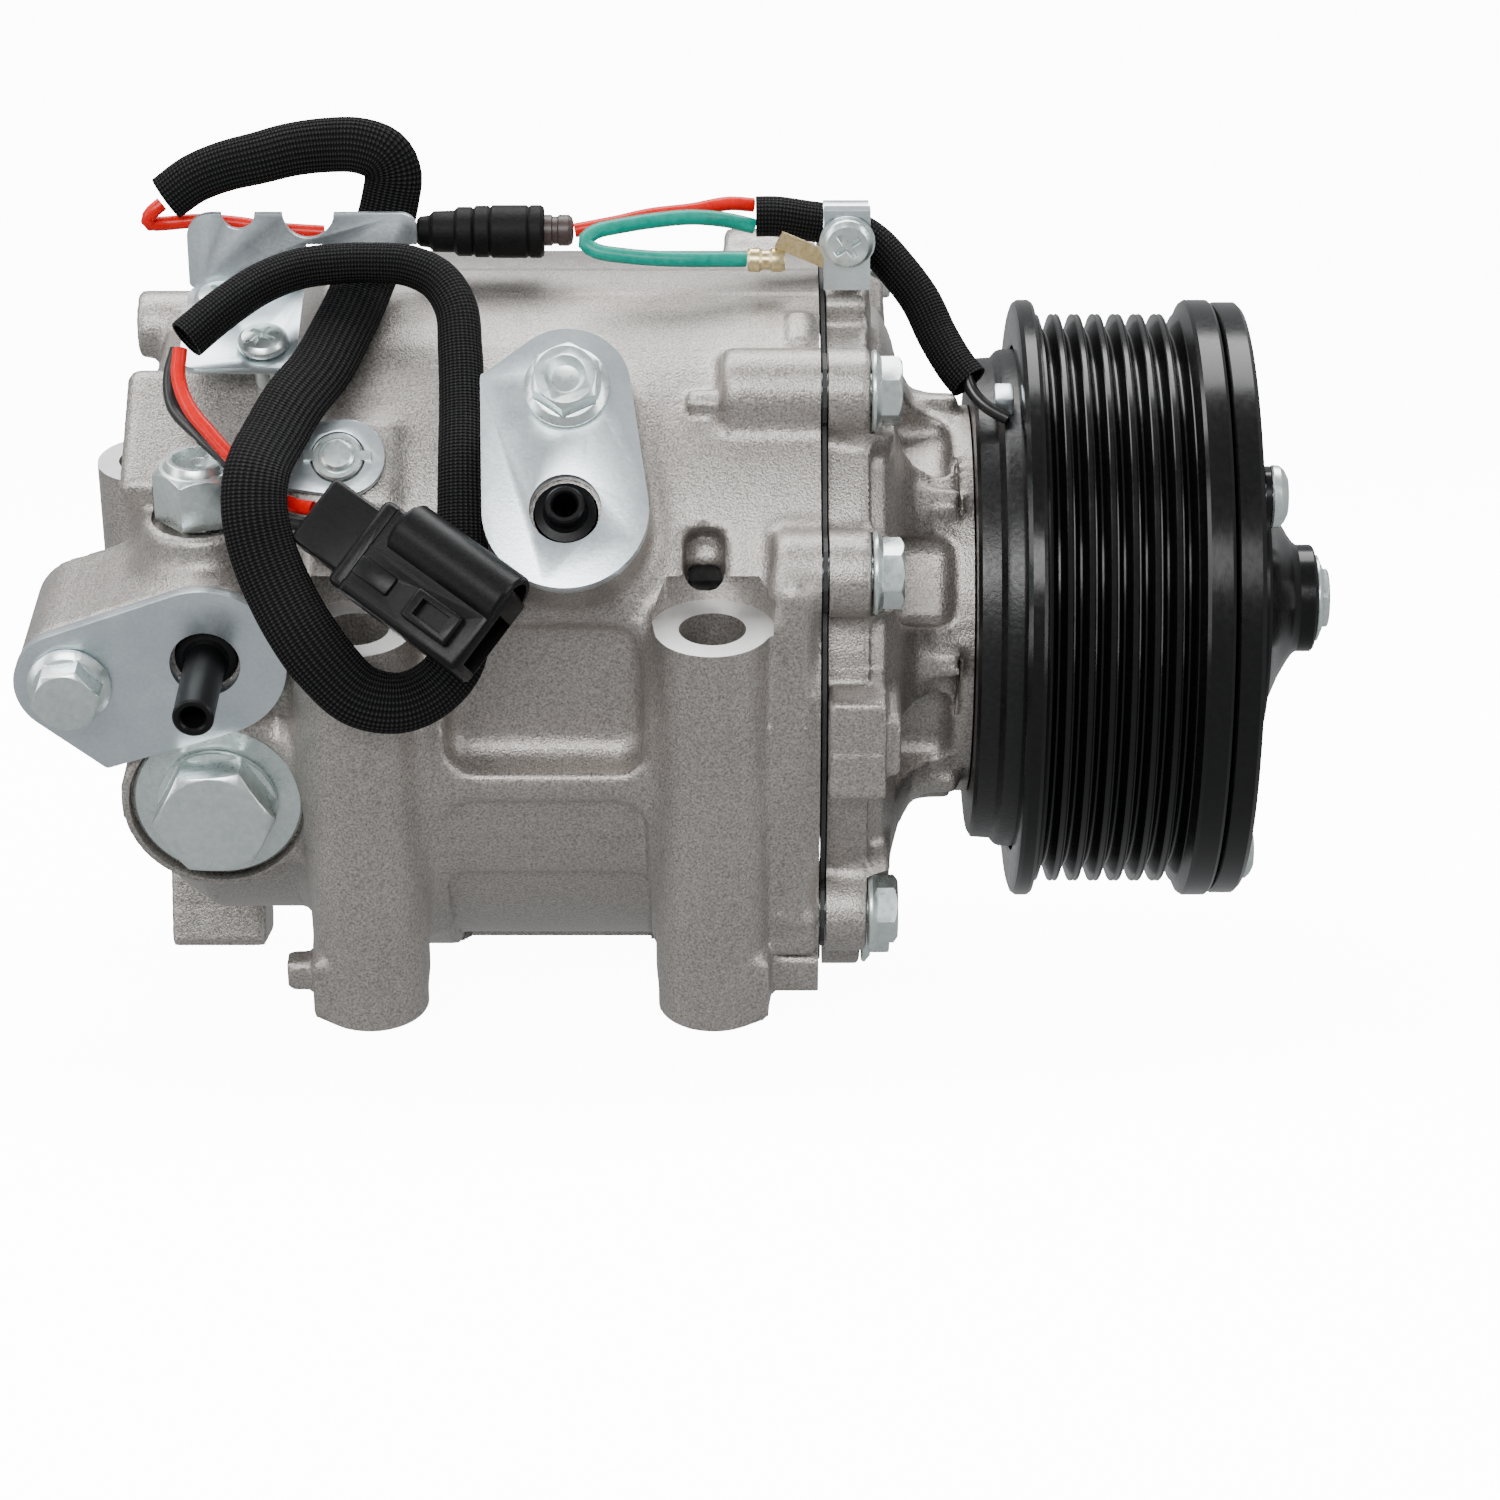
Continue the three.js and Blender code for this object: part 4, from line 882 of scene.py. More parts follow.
def frontCasting():
    cast = Casting((-3.13, -71.27, -71.19), (29, 65, 78), 0.8)
    cast.join(spun([(0, 0), (0, flange["r"]), (8, flange["r"]), (8, 51.5), (10.5, 50), (12.5, 46), (14, 40.5),
                    (16, 37), (19, 34.8), (23, neck["r"]), (27, neck["r"]), (27, 0)]), 0.5)
    for i in range(len(boltCircle["angles"])):
        cast.join(bar(0, boltCircle["lobeR"] + 0.2, 0, 8, boltCentre(i), 0.8), 3)
        cast.join(bar(0, 6.4, 4, 12, [0.9 * v for v in boltCentre(i)], 1.5), 3)
    cast.join(brick((6.7, 5.2, 28), (4.65, -1.4, flange["lugTop"] - 14), rounding=0.8), 2)
    cast.join(radialBrick(1.3, 10.6, 46, 62.6, 17.5, 4.5, 0.8), 0.6)
    cast.join(radialBrick(8, 13.2, 44, 57.5, 11, 3, 1.2), 0.8)
    cast.join(radialBrick(0, 8, 50, 60.5, 9, 86, 1.2), 2)
    for i in range(8):
        cast.join(radialBrick(8, 24, 18, 36.6, 4.4, 45 * i + 10, 1.2), 2.5)
        cast.carve(radialBrick(11.5, 22.5, 30.4, 44, 15, 45 * i + 32.5, 3), 1.2)
    for i in range(6):
        cast.carve(radialBrick(23.2, 23.9, 31.5, 36, 12, 60 * i + 2, 0.2), 0.3)
    made = cast.mesh("front_casting")
    nose = turned("nose", [(0, 24), (neck["noseR"], 24), (neck["noseR"], neck["noseEnd"] - 1),
                           (neck["noseR"] - 1, neck["noseEnd"]), (0, neck["noseEnd"])], 64)
    machined(made, [block("rear", (12, 160, 160), (flange["x"] - 6, 0, 0)),
                    block("front", (12, 160, 160), (neck["end"] + 6, 0, 0))])
    combine(made, laid(nose, alongShaft(0)), "UNION")
    bore = turned("bore", [(0, -1), (46, -1), (46, 5), (34, 5), (34, 7), (26.3, 7), (26.3, 18.5),
                           (15.3, 18.5), (15.3, 30), (9, 30), (9, 60), (0, 60)], 96)
    holes = [laid(bore, alongShaft(0))]
    for i in range(len(boltCircle["angles"])):
        for r, low, high in ((boltHoleR, 0, 14), (7.2, headX - clearance, 24)):
            holes.append(laid(rod("hole", r, low, high, sides=40), atBolt(i)))
    holes.append(laid(rod("hole", 3, -6, 2, flange["screw"]), onFront(flange["lugY"])))
    return machined(made, holes)


settleCasting(frontCasting(), "front_housing", [(0, -1, flange["x"], (0, 0), 90)] + [
    (0, 1, headX - clearance, boltCentre(i), 7.3) for i in range(len(boltCircle["angles"]))])


# Fixings: one head each, instanced where it repeats
def instanced(name, source, spots, turns, material):
    # the source is drawn up Z at the origin; it lands on each spot, turned about the shaft direction
    tree = bpy.data.node_groups.new(name, "GeometryNodeTree")
    tree.interface.new_socket("Spots", in_out="INPUT", socket_type="NodeSocketGeometry")
    sockets = {label: tree.interface.new_socket(label, in_out="INPUT", socket_type=kind) for label, kind in (
        ("Source", "NodeSocketObject"), ("Size", "NodeSocketFloat"), ("Finish", "NodeSocketMaterial"))}
    tree.interface.new_socket("Pieces", in_out="OUTPUT", socket_type="NodeSocketGeometry")
    given, made = tree.nodes.new("NodeGroupInput"), tree.nodes.new("NodeGroupOutput")
    info = addNode(tree, "GeometryNodeObjectInfo", Object=given.outputs["Source"])
    spin = addNode(tree, "GeometryNodeInputNamedAttribute", {"data_type": "FLOAT"}, Name="spin")
    facing = addNode(tree, "ShaderNodeCombineXYZ", Z=spin.outputs[0])
    placed = addNode(tree, "GeometryNodeInstanceOnPoints", Points=given.outputs["Spots"],
                     Instance=info.outputs["Geometry"], Rotation=facing.outputs[0],
                     Scale=given.outputs["Size"])
    real = addNode(tree, "GeometryNodeRealizeInstances", Geometry=placed.outputs[0])
    coated = addNode(tree, "GeometryNodeSetMaterial", Geometry=real.outputs[0],
                     Material=given.outputs["Finish"])
    tree.links.new(coated.outputs[0], made.inputs[0])
    holder = meshObject(name, spots, [])
    spins = holder.data.attributes.new("spin", "FLOAT", "POINT")
    spins.data.foreach_set("value", [float(turn) for turn in turns])
    modifier = holder.modifiers.new("pieces", "NODES")
    modifier.node_group = tree
    modifier[sockets["Source"].identifier] = source
    modifier[sockets["Size"].identifier] = 1.0
    modifier[sockets["Finish"].identifier] = material
    bake(holder)
    bpy.data.objects.remove(source)
    return holder


def flangeBolt(name, flats, collarR, headHigh, dish=0.0, shank=14.0, shankR=3.0, collarHigh=1.6):
    head = hexagonHead(name, flats, collarHigh * 0.6, headHigh, 0.5)
    collar = turned("collar", [(0, 0), (collarR - 0.3, 0), (collarR, 0.3), (collarR, 0.7),
                               (flats * 0.56, collarHigh), (0, collarHigh)], 48)
    combine(head, collar, "UNION")
    shankPiece = turned("shank", [(0, -shank), (shankR - 0.4, -shank), (shankR, -shank + 0.5), (shankR, 0.2),
                                  (0, 0.2)], 24)
    combine(head, shankPiece, "UNION")
    if dish:
        floor, above = headHigh - dish, headHigh + 0.4
        combine(head, turned("dish", [(0, floor), (flats * 0.22, floor), (flats * 0.34, above), (0, above)],
                             48))
    return softenEdges(head, 0.16, 2, 25)


boltSource = flangeBolt("bolt", 10, 6.7, 5.0, 0.7, 13.6)
flangeBolts = instanced("flange_bolts", boltSource, [(*boltCentre(i), 0) for i in range(6)],
                        (0.3, 0.05, 0.9, 0.5, 0.2, 0.7), paleZinc)
settle(laid(flangeBolts, upShaft(headX)), "housing", paleZinc,
       [f"housing_bolt_{i + 1}" for i in range(6)], 30)


# Port plates, their bolts and caps
plate = {"thick": 2.4, "hole": 5.7, "edge": 0.35}


def portPlate(name, discs, corner, port, bolt):
    outline = bandOutline([(x, y, r + 0.2) for x, y, r in discs] + [(*corner, 1.0)])
    blank = prism(name, outline, 0, plate["thick"])
    for r, spot in ((plate["hole"], port), (boltHoleR, bolt)):
        combine(blank, rod("hole", r, -1, 4, spot, 48))
    return softenEdges(blank, plate["edge"], 3, 40)


def hollowCap(name, tubeR, holeR, high):
    skirtR = 4.9
    return turned(name, [(holeR, -10), (skirtR, -10), (skirtR, 0.5), (tubeR + 0.5, 0.9), (tubeR, 1.6),
                         (tubeR, high - 0.3), (tubeR - 0.3, high), (holeR + 0.3, high),
                         (holeR, high - 0.4)], 48)


suctionFace = onFront(suctionPort["faceY"] - clearance)
slopeFace = onSlope(dischargePort["x"], dischargePort["faceR"] + clearance, dischargePort["angle"])
for name, discs, port, face, node in (
        ("suction_cover", suctionDiscs, suctionPort, suctionFace, "suction_plate"),
        ("discharge_cover", dischargeDiscs, dischargePort, slopeFace, "discharge_plate")):
    cover = laid(portPlate(name, discs, port["corner"], port["port"], port["bolt"]), face)
    settle(cover, "housing", zinc, [node])
for name, face, spot, dish, node, turn in (
        ("suction_cover_bolt", suctionFace, suctionPort["bolt"], 0.0, "suction_plate_bolt", 10),
        ("discharge_cover_bolt", slopeFace, dischargePort["bolt"], 2.0, "discharge_plate_bolt", 25)):
    place = face @ shift(*spot, plate["thick"] + clearance) @ turnBy(turn, "Z")
    bolt = laid(flangeBolt(name, 10, 6.8, 6.0, dish, 13), place)
    settle(bolt, "housing", paleZinc, [node], 30)
for name, face, spot, tubeR, high, node in (
        ("suction_cap", suctionFace, suctionPort["port"], 3.3, 20.0, "suction_port_cap"),
        ("discharge_cap", slopeFace, dischargePort["port"], 3.1, 4.6, "discharge_port_cap")):
    cap = laid(hollowCap(name, tubeR, 2.0, high), face @ shift(*spot, 0))
    settle(cap, "housing", blackPlastic, [node], 30)

plugSeat = onFront(oilPlug["seatY"] - clearance) @ shift(oilPlug["x"], oilPlug["z"], 0)
washer = turned("plug_washer", [(7.9, 0), (13.5, 0), (13.9, 0.3), (13.9, 1.0), (13.5, 1.3), (7.9, 1.3)], 96)
settle(laid(washer, plugSeat), "housing", paleZinc, ["oil_plug_washer"], 30)
plugPiece = laid(flangeBolt("plug", oilPlug["head"], 9.9, oilPlug["high"], 0, 13, 7.6, 1.4),
                 plugSeat @ shift(0, 0, oilPlug["washerT"] + clearance) @ turnBy(3, "Z"))
settle(plugPiece, "housing", paleZinc, ["oil_plug"], 30)

valve = hexagonHead("relief_valve", reliefValve["flats"], 0, reliefValve["high"] - 1.6, 0.9)
combine(valve, turned("crown", [(0, 2), (5.5, 2), (5.5, 8.9), (4.9, 10.1), (0, 10.1)], 48), "UNION")
combine(valve, turned("skirt", [(0, -24), (4.3, -24), (4.3, 0.4), (0, 0.4)], 32), "UNION")
combine(valve, turned("bore", [(0, -19), (2.7, -19), (2.7, 7.4), (3.9, 8.2), (3.9, 11), (0, 11)], 32))
combine(valve, turned("outlet", [(0, -26), (1.4, -26), (1.4, -15), (0, -15)], 24))
softenEdges(valve, 0.15, 2, 25)
laid(valve, shift(reliefValve["x"], reliefValve["y"], reliefValve["z"] + clearance) @ turnBy(14, "Z"))
settle(valve, "housing", paleZinc, ["relief_valve_body"], 30)
print("port plates, plug and valve made")


# Clutch: turned parts about the shaft
grooves = {"count": 7, "pitch": 3.56, "depth": 2.9, "tipR": 49.2}
pulley = {"start": 33.6, "flangeR": 51.6, "rearRim": 3.8, "frontRim": 5.2, "rimInnerR": 43.8,
          "bearingR": 27.6, "webBack": 60.2, "webInnerR": 30.4, "boreX": 35}
pulleyEnd = pulley["start"] + pulley["rearRim"] + grooves["count"] * grooves["pitch"] + pulley["frontRim"]
armature = {"x": pulleyEnd + 0.5, "thick": 4.6, "innerR": 25.5}
leaf = {"thick": 0.9, "ringR": 19.5, "rivetR": 44.5, "holeR": 2.5, "angles": [50, 170, 290]}
leafX = armature["x"] + armature["thick"] + clearance
hubX = armature["x"] + armature["thick"] + 1.9
coil = {"back": neck["end"] + clearance, "end": 59, "outerR": 43.1, "innerR": 31.4}


def grooveProfile():
    points = []
    first = pulley["start"] + pulley["rearRim"]
    land, root = 0.42, 0.34
    for i in range(grooves["count"]):
        x = first + i * grooves["pitch"]
        tip, low = grooves["tipR"], grooves["tipR"] - grooves["depth"]
        middle = x + grooves["pitch"] / 2
        points += [(tip - 0.22, x + land * 0.7), (tip, x + (land if i else 0.05)),
                   (tip - 0.1, x + land + 0.2), (low + 0.25, middle - root), (low, middle - root * 0.45),
                   (low, middle + root * 0.45),
                   (low + 0.25, middle + root), (tip - 0.1, x + grooves["pitch"] - land - 0.2),
                   (tip, x + grooves["pitch"] - land)]
    return points


def pulleyProfile():
    r, start, end, inner = pulley["flangeR"], pulley["start"], pulleyEnd, pulley["rimInnerR"]
    rear, front = start + pulley["rearRim"], end - pulley["frontRim"]
    bearingR, webR, boreX, webBack = (pulley[key] for key in ("bearingR", "webInnerR", "boreX", "webBack"))
    return [(inner, start + 0.3), (inner + 0.4, start), (r - 1.4, start), (r - 0.5, start + 0.3),
            (r, start + 1.0), (r, rear - 1.0), (r - 0.4, rear - 0.4), (r - 1.6, rear - 0.1), *grooveProfile(),
            (r - 1.6, front + 0.1), (r - 0.4, front + 0.6), (r, front + 1.2), (r, end - 0.5), (r - 0.4, end),
            (bearingR, end), (bearingR, boreX), (webR, boreX), (webR, webBack), (inner, webBack)]


def onShaft(name, profile, sides, body, material, node, angle=25):
    return settle(laid(turned(name, profile, sides), alongShaft(0)), body, material, [node], angle)


onShaft("belt_pulley", pulleyProfile(), 160, "pulley", glossBlack, "pulley", 28)
shellR, shellInR, shellEnd = coil["outerR"], coil["innerR"], coil["end"]
onShaft("coil_shell", [
    (17.8, coil["back"]), (shellR - 2.6, coil["back"]), (shellR - 1.6, coil["back"] + 0.6),
    (shellR - 1.4, 30), (shellR - 0.3, 31), (shellR, 31.8), (shellR, shellEnd - 0.4),
    (shellR - 0.4, shellEnd), (shellR - 2.2, shellEnd), (shellR - 2.2, 34), (shellInR + 2.2, 34),
    (shellInR + 2.2, shellEnd), (shellInR, shellEnd), (shellInR, 29.2), (17.8, 29.2)],
    128, "housing", darkSteel, "coil_housing")


def rivetSpot(angle):
    # where a rivet goes through a piece that is drawn up its own Z
    a = math.radians(angle)
    return -leaf["rivetR"] * math.sin(a), -leaf["rivetR"] * math.cos(a)


def armatureRing():
    r, innerR, x = pulley["flangeR"] - 0.4, armature["innerR"], armature["x"]
    front = x + armature["thick"]
    made = turned("armature", [(innerR, x), (r - 0.4, x), (r, x + 0.4), (r, front - 0.8), (r - 0.8, front),
                               (innerR, front)], 160)
    for angle in leaf["angles"]:
        combine(made, rod("hole", leaf["holeR"], x - 1, x + 6, rivetSpot(angle)))
    return laid(made, alongShaft(0))


def leafSprings():
    made = rod("leaf_springs", leaf["ringR"] + 4.5, 0, leaf["thick"], sides=96)
    for angle in leaf["angles"]:
        outline = bandOutline([(leaf["ringR"], 0, 4.2), (leaf["rivetR"], 0, 5)], 48)
        arm = prism("arm", outline, 0, leaf["thick"])
        combine(made, laid(arm, turnBy(-90 - angle, "Z")), "UNION")
    combine(made, rod("bore", leaf["ringR"] - 4, -1, 2, sides=96))
    for angle in leaf["angles"]:
        combine(made, rod("hole", leaf["holeR"], -1, 2, rivetSpot(angle)))
    return laid(softenEdges(made, 0.15, 2, 40), alongShaft(leafX))


settle(armatureRing(), "armature", glossBlack, ["armature_plate"], 28)
settle(leafSprings(), "armature", glossBlack, ["spring_plate"], 30)
rivetSource = turned("rivet", [(0, 0.5), (2.2, 0.5), (2.2, 6.0), (5.0, 6.0), (5.2, 6.3), (5.1, 7.4),
                               (4.4, 8.2), (3.2, 8.8), (2.2, 8.9), (1.9, 8.4), (0, 8.3)], 48)
rivetSpots = [(*roundShaft(leaf["rivetR"], angle), 0) for angle in leaf["angles"]]
rivets = instanced("clutch_rivets", rivetSource, rivetSpots, (0, 0, 0), paleZinc)
settle(laid(rivets, upShaft(armature["x"])), "armature", paleZinc,
       [f"clutch_rivet_{i + 1}" for i in range(3)], 30)

hubFront = hubX + 2.2
onShaft("drive_hub", [
    (6.4, hubX), (24.7, hubX), (25, hubX + 0.3), (25, hubFront - 0.6), (24.6, hubFront - 0.1),
    (20, hubFront + 0.5), (14, hubFront + 3.2), (11, hubFront + 5.0), (9.8, hubFront + 5.9),
    (9.3, hubFront + 6.6), (9.3, hubFront + 9.1), (8.9, hubFront + 9.5), (7.9, hubFront + 9.5),
    (7.6, hubFront + 9.2), (7.6, hubFront + 8), (3.3, hubFront + 8),
    (3.3, 80.8), (6.4, 80.8)], 96, "shaft", glossBlack, "clutch_hub", 30)
centreBolt = laid(flangeBolt("centre_bolt", 10, 7.5, 2.6, 0.6, 4, 3.0, 1.5), alongShaft(hubFront + 9.6))
settle(centreBolt, "shaft", paleZinc, ["hub_bolt"], 30)
print("clutch made")


# Wiring bracket, its screws, the switch retainer, the lead clamp
onTop = turnBy(14, "X")
bracket = {"sheet": 1.2, "r": 61.4, "screws": [(-98.5, 2.5), (-90.5, -8.5)]}


def sheet(name, outline, thick, place):
    return laid(prism(name, outline, 0, thick), place)


def roundedBox(x0, x1, y0, y1, radii, steps=8):
    # corners counter-clockwise from (x0, y0)
    points = []
    for k, (cx, cy) in enumerate(((x0, y0), (x1, y0), (x1, y1), (x0, y1))):
        r = radii[k]
        ox, oy = cx + (r if cx == x0 else -r), cy + (r if cy == y0 else -r)
        for i in range(steps + 1):
            a = math.radians(180 + 90 * k + 90 * i / steps)
            points.append((ox + r * math.cos(a), oy + r * math.sin(a)))
    return points


def wiringBracket():
    made = sheet("bracket", roundedBox(-104, -85, -14, 8, (3, 2, 2, 3)), bracket["sheet"],
                 onTop @ shift(0, 0, bracket["r"]))
    lean = shift(0, -6.0, 68.4) @ turnBy(-4, "X") @ onFront(0)
    leafPiece = sheet("leaf", roundedBox(-104, -66.2, -6.4, 6.4, (1, 1, 2.5, 4)), bracket["sheet"], lean)
    combine(made, leafPiece, "UNION")
    cutters = [block("foot", (20, 8, 12), (-74.5, -6, 63.6))]
    for x, r in ((-95.5, 2.75), (-84, 4.25)):
        cutters.append(laid(rod("notch", r, -4, 6, (x, 6.4), 40), lean))
    for spot in bracket["screws"]:
        cutters.append(laid(rod("hole", 2.1, 50, 72, spot), onTop))
    machined(made, cutters)
    slot = sheet("slot", roundedBox(-78.5, -69.5, -1.0, 1.2, (1, 1, 1, 1)), 0.5, lean @ shift(0, 0, 0.95))
    combine(made, slot, "UNION")
    return softenEdges(made, 0.25, 2, 40)


def crossScrew(name, headR, high, shankR, shank):
    head = turned(name, [(0, -shank), (shankR, -shank), (shankR, 0.1), (headR - 0.3, 0.1), (headR, 0.4),
                         (headR - 0.1, high * 0.55), (headR * 0.8, high * 0.85), (headR * 0.4, high),
                         (0, high)], 48)
    for turn in (0, 90):
        combine(head, block("slot", (headR * 1.1, 0.95, 3), (0, 0, high + 0.35), turnBy(turn, "Z")))
    return softenEdges(head, 0.1, 1, 40)


settle(wiringBracket(), "housing", zinc, ["wiring_bracket"], 30)
for i, (x, y) in enumerate(bracket["screws"]):
    place = onTop @ shift(x, y, bracket["r"] + bracket["sheet"] + clearance) @ turnBy(30 + 25 * i, "Z")
    screw = laid(crossScrew(f"bracket_cross_screw_{i + 1}", 4.2, 2.3, 1.8, 8), place)
    settle(screw, "housing", paleZinc, [f"bracket_screw_{i + 1}"], 30)

switchFace = onSlope(switchAt["x"] - 3, switchAt["sheetR"], switchAt["angle"])
retainer = prism("retainer", bandOutline([(-7.5, 0, 5), (4, 0, 6.6)]), 0, 1.2)
combine(retainer, rod("hole", 4.4, -1, 3, (3, 0), 48))
softenEdges(retainer, 0.3, 3, 40)
bump = turned("bump", [(0, 0.4), (2.2, 0.4), (2.2, 1.6), (1.6, 2.1), (0, 2.3)], 32)
combine(retainer, laid(bump, shift(-8, 0, 0)), "UNION")
settle(laid(retainer, switchFace), "housing", zinc, ["switch_retainer"], 30)
switch = turned("thermal_switch_body", [
    (0, 50), (2.7, 50), (2.7, 61.3), (3.4, 61.3), (4.1, 61.6), (4.1, 63.2), (3.8, 63.5), (3.1, 63.5),
    (3.0, 63.2), (2.8, 63.2), (2.7, 63.7), (2.2, 64.1), (0, 64.3)], 48)
for side in (-1, 1):
    combine(switch, block("tab", (1.8, 1.6, 0.7), (side * 4.5, 0, 63.4)), "UNION")
settle(laid(switch, onSlope(switchAt["x"], 0, switchAt["angle"])), "housing", paleZinc,
       ["thermal_switch"], 30)

clampX, clampZ = flange["screw"]
clamp = block("clamp", (7.6, 1.2, 14), (clampX, -6, 68.2))
combine(clamp, block("lip", (7.6, 3.4, 1.1), (clampX, -5, 74.5), turnBy(-8, "X")), "UNION")
combine(clamp, laid(rod("hole", 3, 4, 9, (clampX, clampZ)), onFront(0)))
softenEdges(clamp, 0.5, 3, 40)
hug = turned("hug", [(3.75, -3.8), (4.65, -3.8), (4.65, 3.8), (3.75, 3.8)], 64)
combine(hug, block("gap", (8, 12, 10), (6.4, 0, 0)))
laid(hug, shift(clampX, 6, 66.9) @ turnBy(90, "Y"))
settle(merged("clamp_strap", [clamp, hug]), "housing", zinc, ["lead_clamp"], 30)
screw = crossScrew("clamp_cross_screw", 4.3, 2.2, 2.7, 6.9)
combine(screw, turned("lock_washer", [(2.5, -0.05), (4.6, -0.05), (4.6, 0.3), (2.5, 0.3)], 48), "UNION")
settle(laid(screw, onFront(-7.05) @ shift(clampX, clampZ, 0) @ Matrix.Rotation(0.6, 4, "Z")),
       "housing", paleZinc, ["clamp_screw"], 30)


# Wire ends: crimped ground terminal, inline plug in its boot, two-way connector
terminal = laid(turned("crimp_terminal", [(3.1, 4.3), (3.9, 4.3), (3.9, 5.1), (3.1, 5.1)], 48),
                shift(clampX, 0, clampZ) @ turnBy(90, "X"))
tongue = block("tongue", (9, 0.8, 3), (-2.6, -4.7, 67.6), turnBy(24, "Y"))
combine(terminal, tongue, "UNION")
softenEdges(terminal, 0.15, 2, 40)
barrel = turned("crimp", [(0, -11.8), (1.75, -11.8), (2.0, -11.4), (2.0, -9.9), (1.65, -9.4), (1.65, -8.2),
                          (2.0, -7.7), (2.0, -6.2), (1.7, -5.6), (0, -5.6)], 32)
combine(terminal, laid(barrel, shift(0, -4.7, 65.8) @ turnBy(90, "Y")), "UNION")
settle(terminal, "housing", brass, ["ground_terminal"], 30)

plugEnd = turned("wire_plug", [(0, -45.6), (2.6, -45.6), (2.6, -44.4), (2.3, -44.2), (2.3, -43.4),
                               (2.6, -43.2), (2.6, -41.6), (2.2, -41), (1.5, -40.8), (0, -40.8)], 32)
boot = turned("wire_boot", [
    (0, -66.8), (2.0, -66.8), (2.5, -66.3), (2.7, -64.8), (3.4, -64), (3.5, -60.6), (4.1, -60), (4.1, -57.8),
    (3.8, -57.4), (4.3, -57), (4.3, -55), (4.0, -54.6), (4.4, -54.2), (4.4, -48.6), (4.1, -48.2),
    (4.4, -47.8), (4.4, -46.2), (4.0, -45.7), (3.0, -45.7), (2.8, -46.6), (0, -46.6)], 40)
for made, z, material, slotName, node in ((plugEnd, 68.2, brownPlastic, "brown_plastic", "inline_plug"),
                                          (boot, 68, rubber, "rubber", "plug_boot")):
    laid(made, shift(0, 2, z) @ turnBy(90, "Y"))
    settle(made, "housing", material, [node], 30)


leadRoute = smoothRoute([[24.6, -10.4, 47.2], [25.4, -11.6, 45.4], [27.2, -13, 43.6], [29.6, -13.8, 42.2],
                         [31.4, -14.2, 41.4]], 0.8)[0]
settle(sweep("coil_lead", leadRoute, evenly(1.1), 16), "housing", blackInsulation, [], 60)
clip = softenEdges(block("coil_clip", (3.2, 4.6, 3.6)), 0.5, 2, 40)
settle(laid(clip, onSlope(30.9, 44.6, 76)), "housing", zinc, [], 30)


def connectorPlace():
    rear, front, out = Vector((-79.6, -54.6, 44.2)), Vector((-51.5, -73, 31.5)), Vector((0, -0.82, 0.57))
    along = (front - rear).normalized()
    out = (out - along * out.dot(along)).normalized()
    across = out.cross(along)
    return shift(*rear) @ Matrix((along, across, out)).transposed().to_4x4()


def connectorShell():
    made = softenEdges(block("connector", (26, 16, 10.2), (22.5, 0, 0)), 1.1, 3, 40)
    rear = softenEdges(block("rear", (10.4, 12, 8), (5.2, 0, 0)), 0.8, 3, 40)
    barrel = laid(turned("barrel", [(0, 13.8), (4.4, 13.8), (5.2, 14.6), (5.2, 35.0), (4.9, 35.4),
                                    (4.1, 35.4), (4.1, 31), (0, 31)], 48),
                  shift(0, 5.6, 1.6) @ turnBy(90, "Y"))
    latch = softenEdges(block("latch", (9, 5.4, 2.6), (28, -3, 5.9)), 0.6, 3, 40)
    ramp = softenEdges(block("ramp", (7, 3.4, 1.3), (16, -3, 5.4)), 0.4, 2, 40)
    for part in (rear, barrel, latch, ramp):
        combine(made, part, "UNION")
    cutters = [block("window", (5.5, 3.0, 3), (28, -3, 6.4)),
               block("mouth", (7, 9.5, 6.6), (33.5, -1.2, -0.6))]
    cutters += [block("seam", (0.5, 18, 1.2), (12.4, 0, z)) for z in (5.3, -5.3)]
    cutters += [block("flute", (11, 0.7, 0.9), (17.5, y, 5.2)) for y in (-6.6, 0.4)]
    cutters += [laid(rod("wire_way", 1.9, -1, 6, (0, y), 24), turnBy(90, "Y"))
                for y in (-2.6, 2.6)]
    for cutter in cutters:
        combine(made, cutter)
    softenEdges(made, 0.12, 1, 50)
    return laid(made, connectorPlace())


connector = settle(connectorShell(), "housing", blackPlastic, ["harness_connector"], 30)
print("wiring pieces made")


# Pieces kept from the CAD model, most of them inside
keptFinishes = {
    gasketFace: ["housing_gasket", "shaft_seal"],
    machinedAluminium: ["fixed_scroll", "orbiting_scroll"],
    copper: ["coil_winding"],
}
coated = {node: material for material, names in keptFinishes.items() for node in names}
replacedNodes = {node for made in bpy.data.objects for node in made.get("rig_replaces", [])}
for node, made in frame["nodes"].items():
    if node not in replacedNodes:
        for slotSpace in made.material_slots:
            slotSpace.material = coated.get(node, steel)
print("kept pieces finished")


# Floor and light
def stagePlane(name, corners, material):
    # a white sweep for the camera; the lamps and the world light the object
    made = meshObject(name, corners, [(0, 1, 2, 3)])
    made.data.materials.append(material)
    made.visible_diffuse = made.visible_glossy = False
    return made


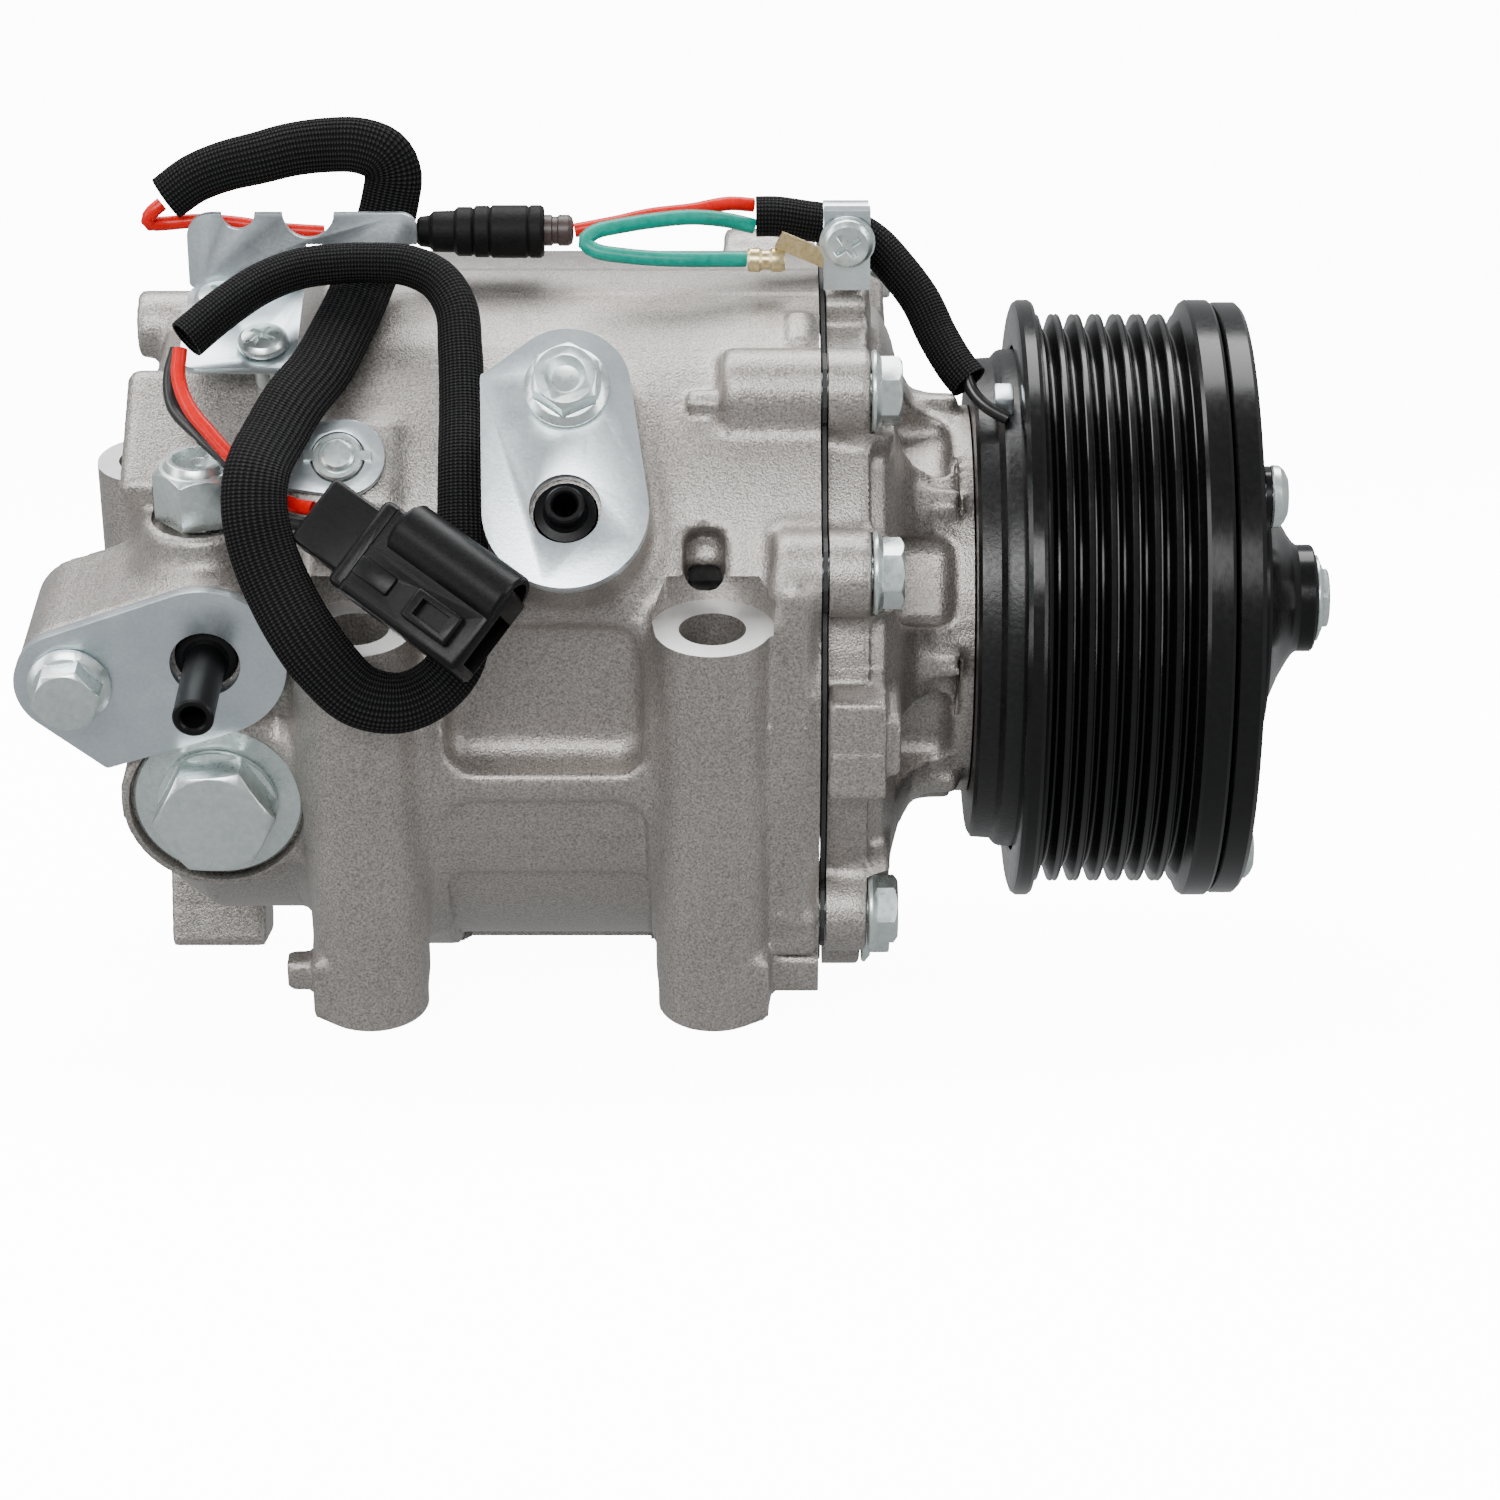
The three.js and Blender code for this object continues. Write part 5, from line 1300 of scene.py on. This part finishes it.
def glowing(name, shade, strength):
    material = finish(name, (shade, shade, shade), (shade, shade, shade * 1.01), 0.0, (0.9, 0.95),
                      grain=50, blotch=2, mix=0.2, specular=0.1)
    shader = next(node for node in material.node_tree.nodes if node.type == "BSDF_PRINCIPLED")
    shader.inputs["Emission Color"].default_value = (1, 1, 1, 1)
    shader.inputs["Emission Strength"].default_value = strength
    return material


studio = {"half": 6, "floorEnd": 3, "backdropY": 2.9, "high": 5, "shade": 0.92, "glow": 12.0,
          "sky": (0.97, 0.985, 1.0, 1), "skyStrength": 0.5}
half, endY, backY = studio["half"], studio["floorEnd"], studio["backdropY"]
floorZ = cadBounds[0][2] - 0.0002
low, high = floorZ - 0.1, studio["high"]
stagePlane("floor", [(-half, -half, floorZ), (half, -half, floorZ), (half, endY, floorZ),
                     (-half, endY, floorZ)], glowing("paleFloor", studio["shade"], studio["glow"]))
stagePlane("backdrop", [(-half, backY, low), (half, backY, low), (half, backY, high), (-half, backY, high)],
           glowing("paleBackdrop", studio["shade"], studio["glow"]))

lights = {
    # name: place, target, size across and up, watts
    "softbox_top": ((-0.1, 0.25, 1.1), (0, 0, 0.06), (1.8, 0.6), 30),
    "softbox_front": ((-0.25, -1.35, 0.6), (0, 0, 0.07), (0.9, 0.45), 21),
    "softbox_left": ((-1.1, -0.5, 0.35), (0, 0, 0.07), (0.35, 1.1), 7),
    "softbox_right": ((1.2, -0.6, 0.3), (0.06, 0, 0.07), (0.25, 1.2), 9),
}
for name, (place, target, (wide, tall), watts) in lights.items():
    lamp = bpy.data.lights.new(name, "AREA")
    lamp.shape = "RECTANGLE"
    lamp.size, lamp.size_y, lamp.energy = wide, tall, watts
    holder = bpy.data.objects.new(name, lamp)
    holder.location = place
    holder.rotation_euler = (Vector(target) - Vector(place)).to_track_quat("-Z", "Y").to_euler()
    bpy.context.collection.objects.link(holder)
world = bpy.data.worlds.new("studio")
world.use_nodes = True
sky = world.node_tree.nodes["Background"]
sky.inputs[0].default_value, sky.inputs[1].default_value = studio["sky"], studio["skyStrength"]
bpy.context.scene.world = world
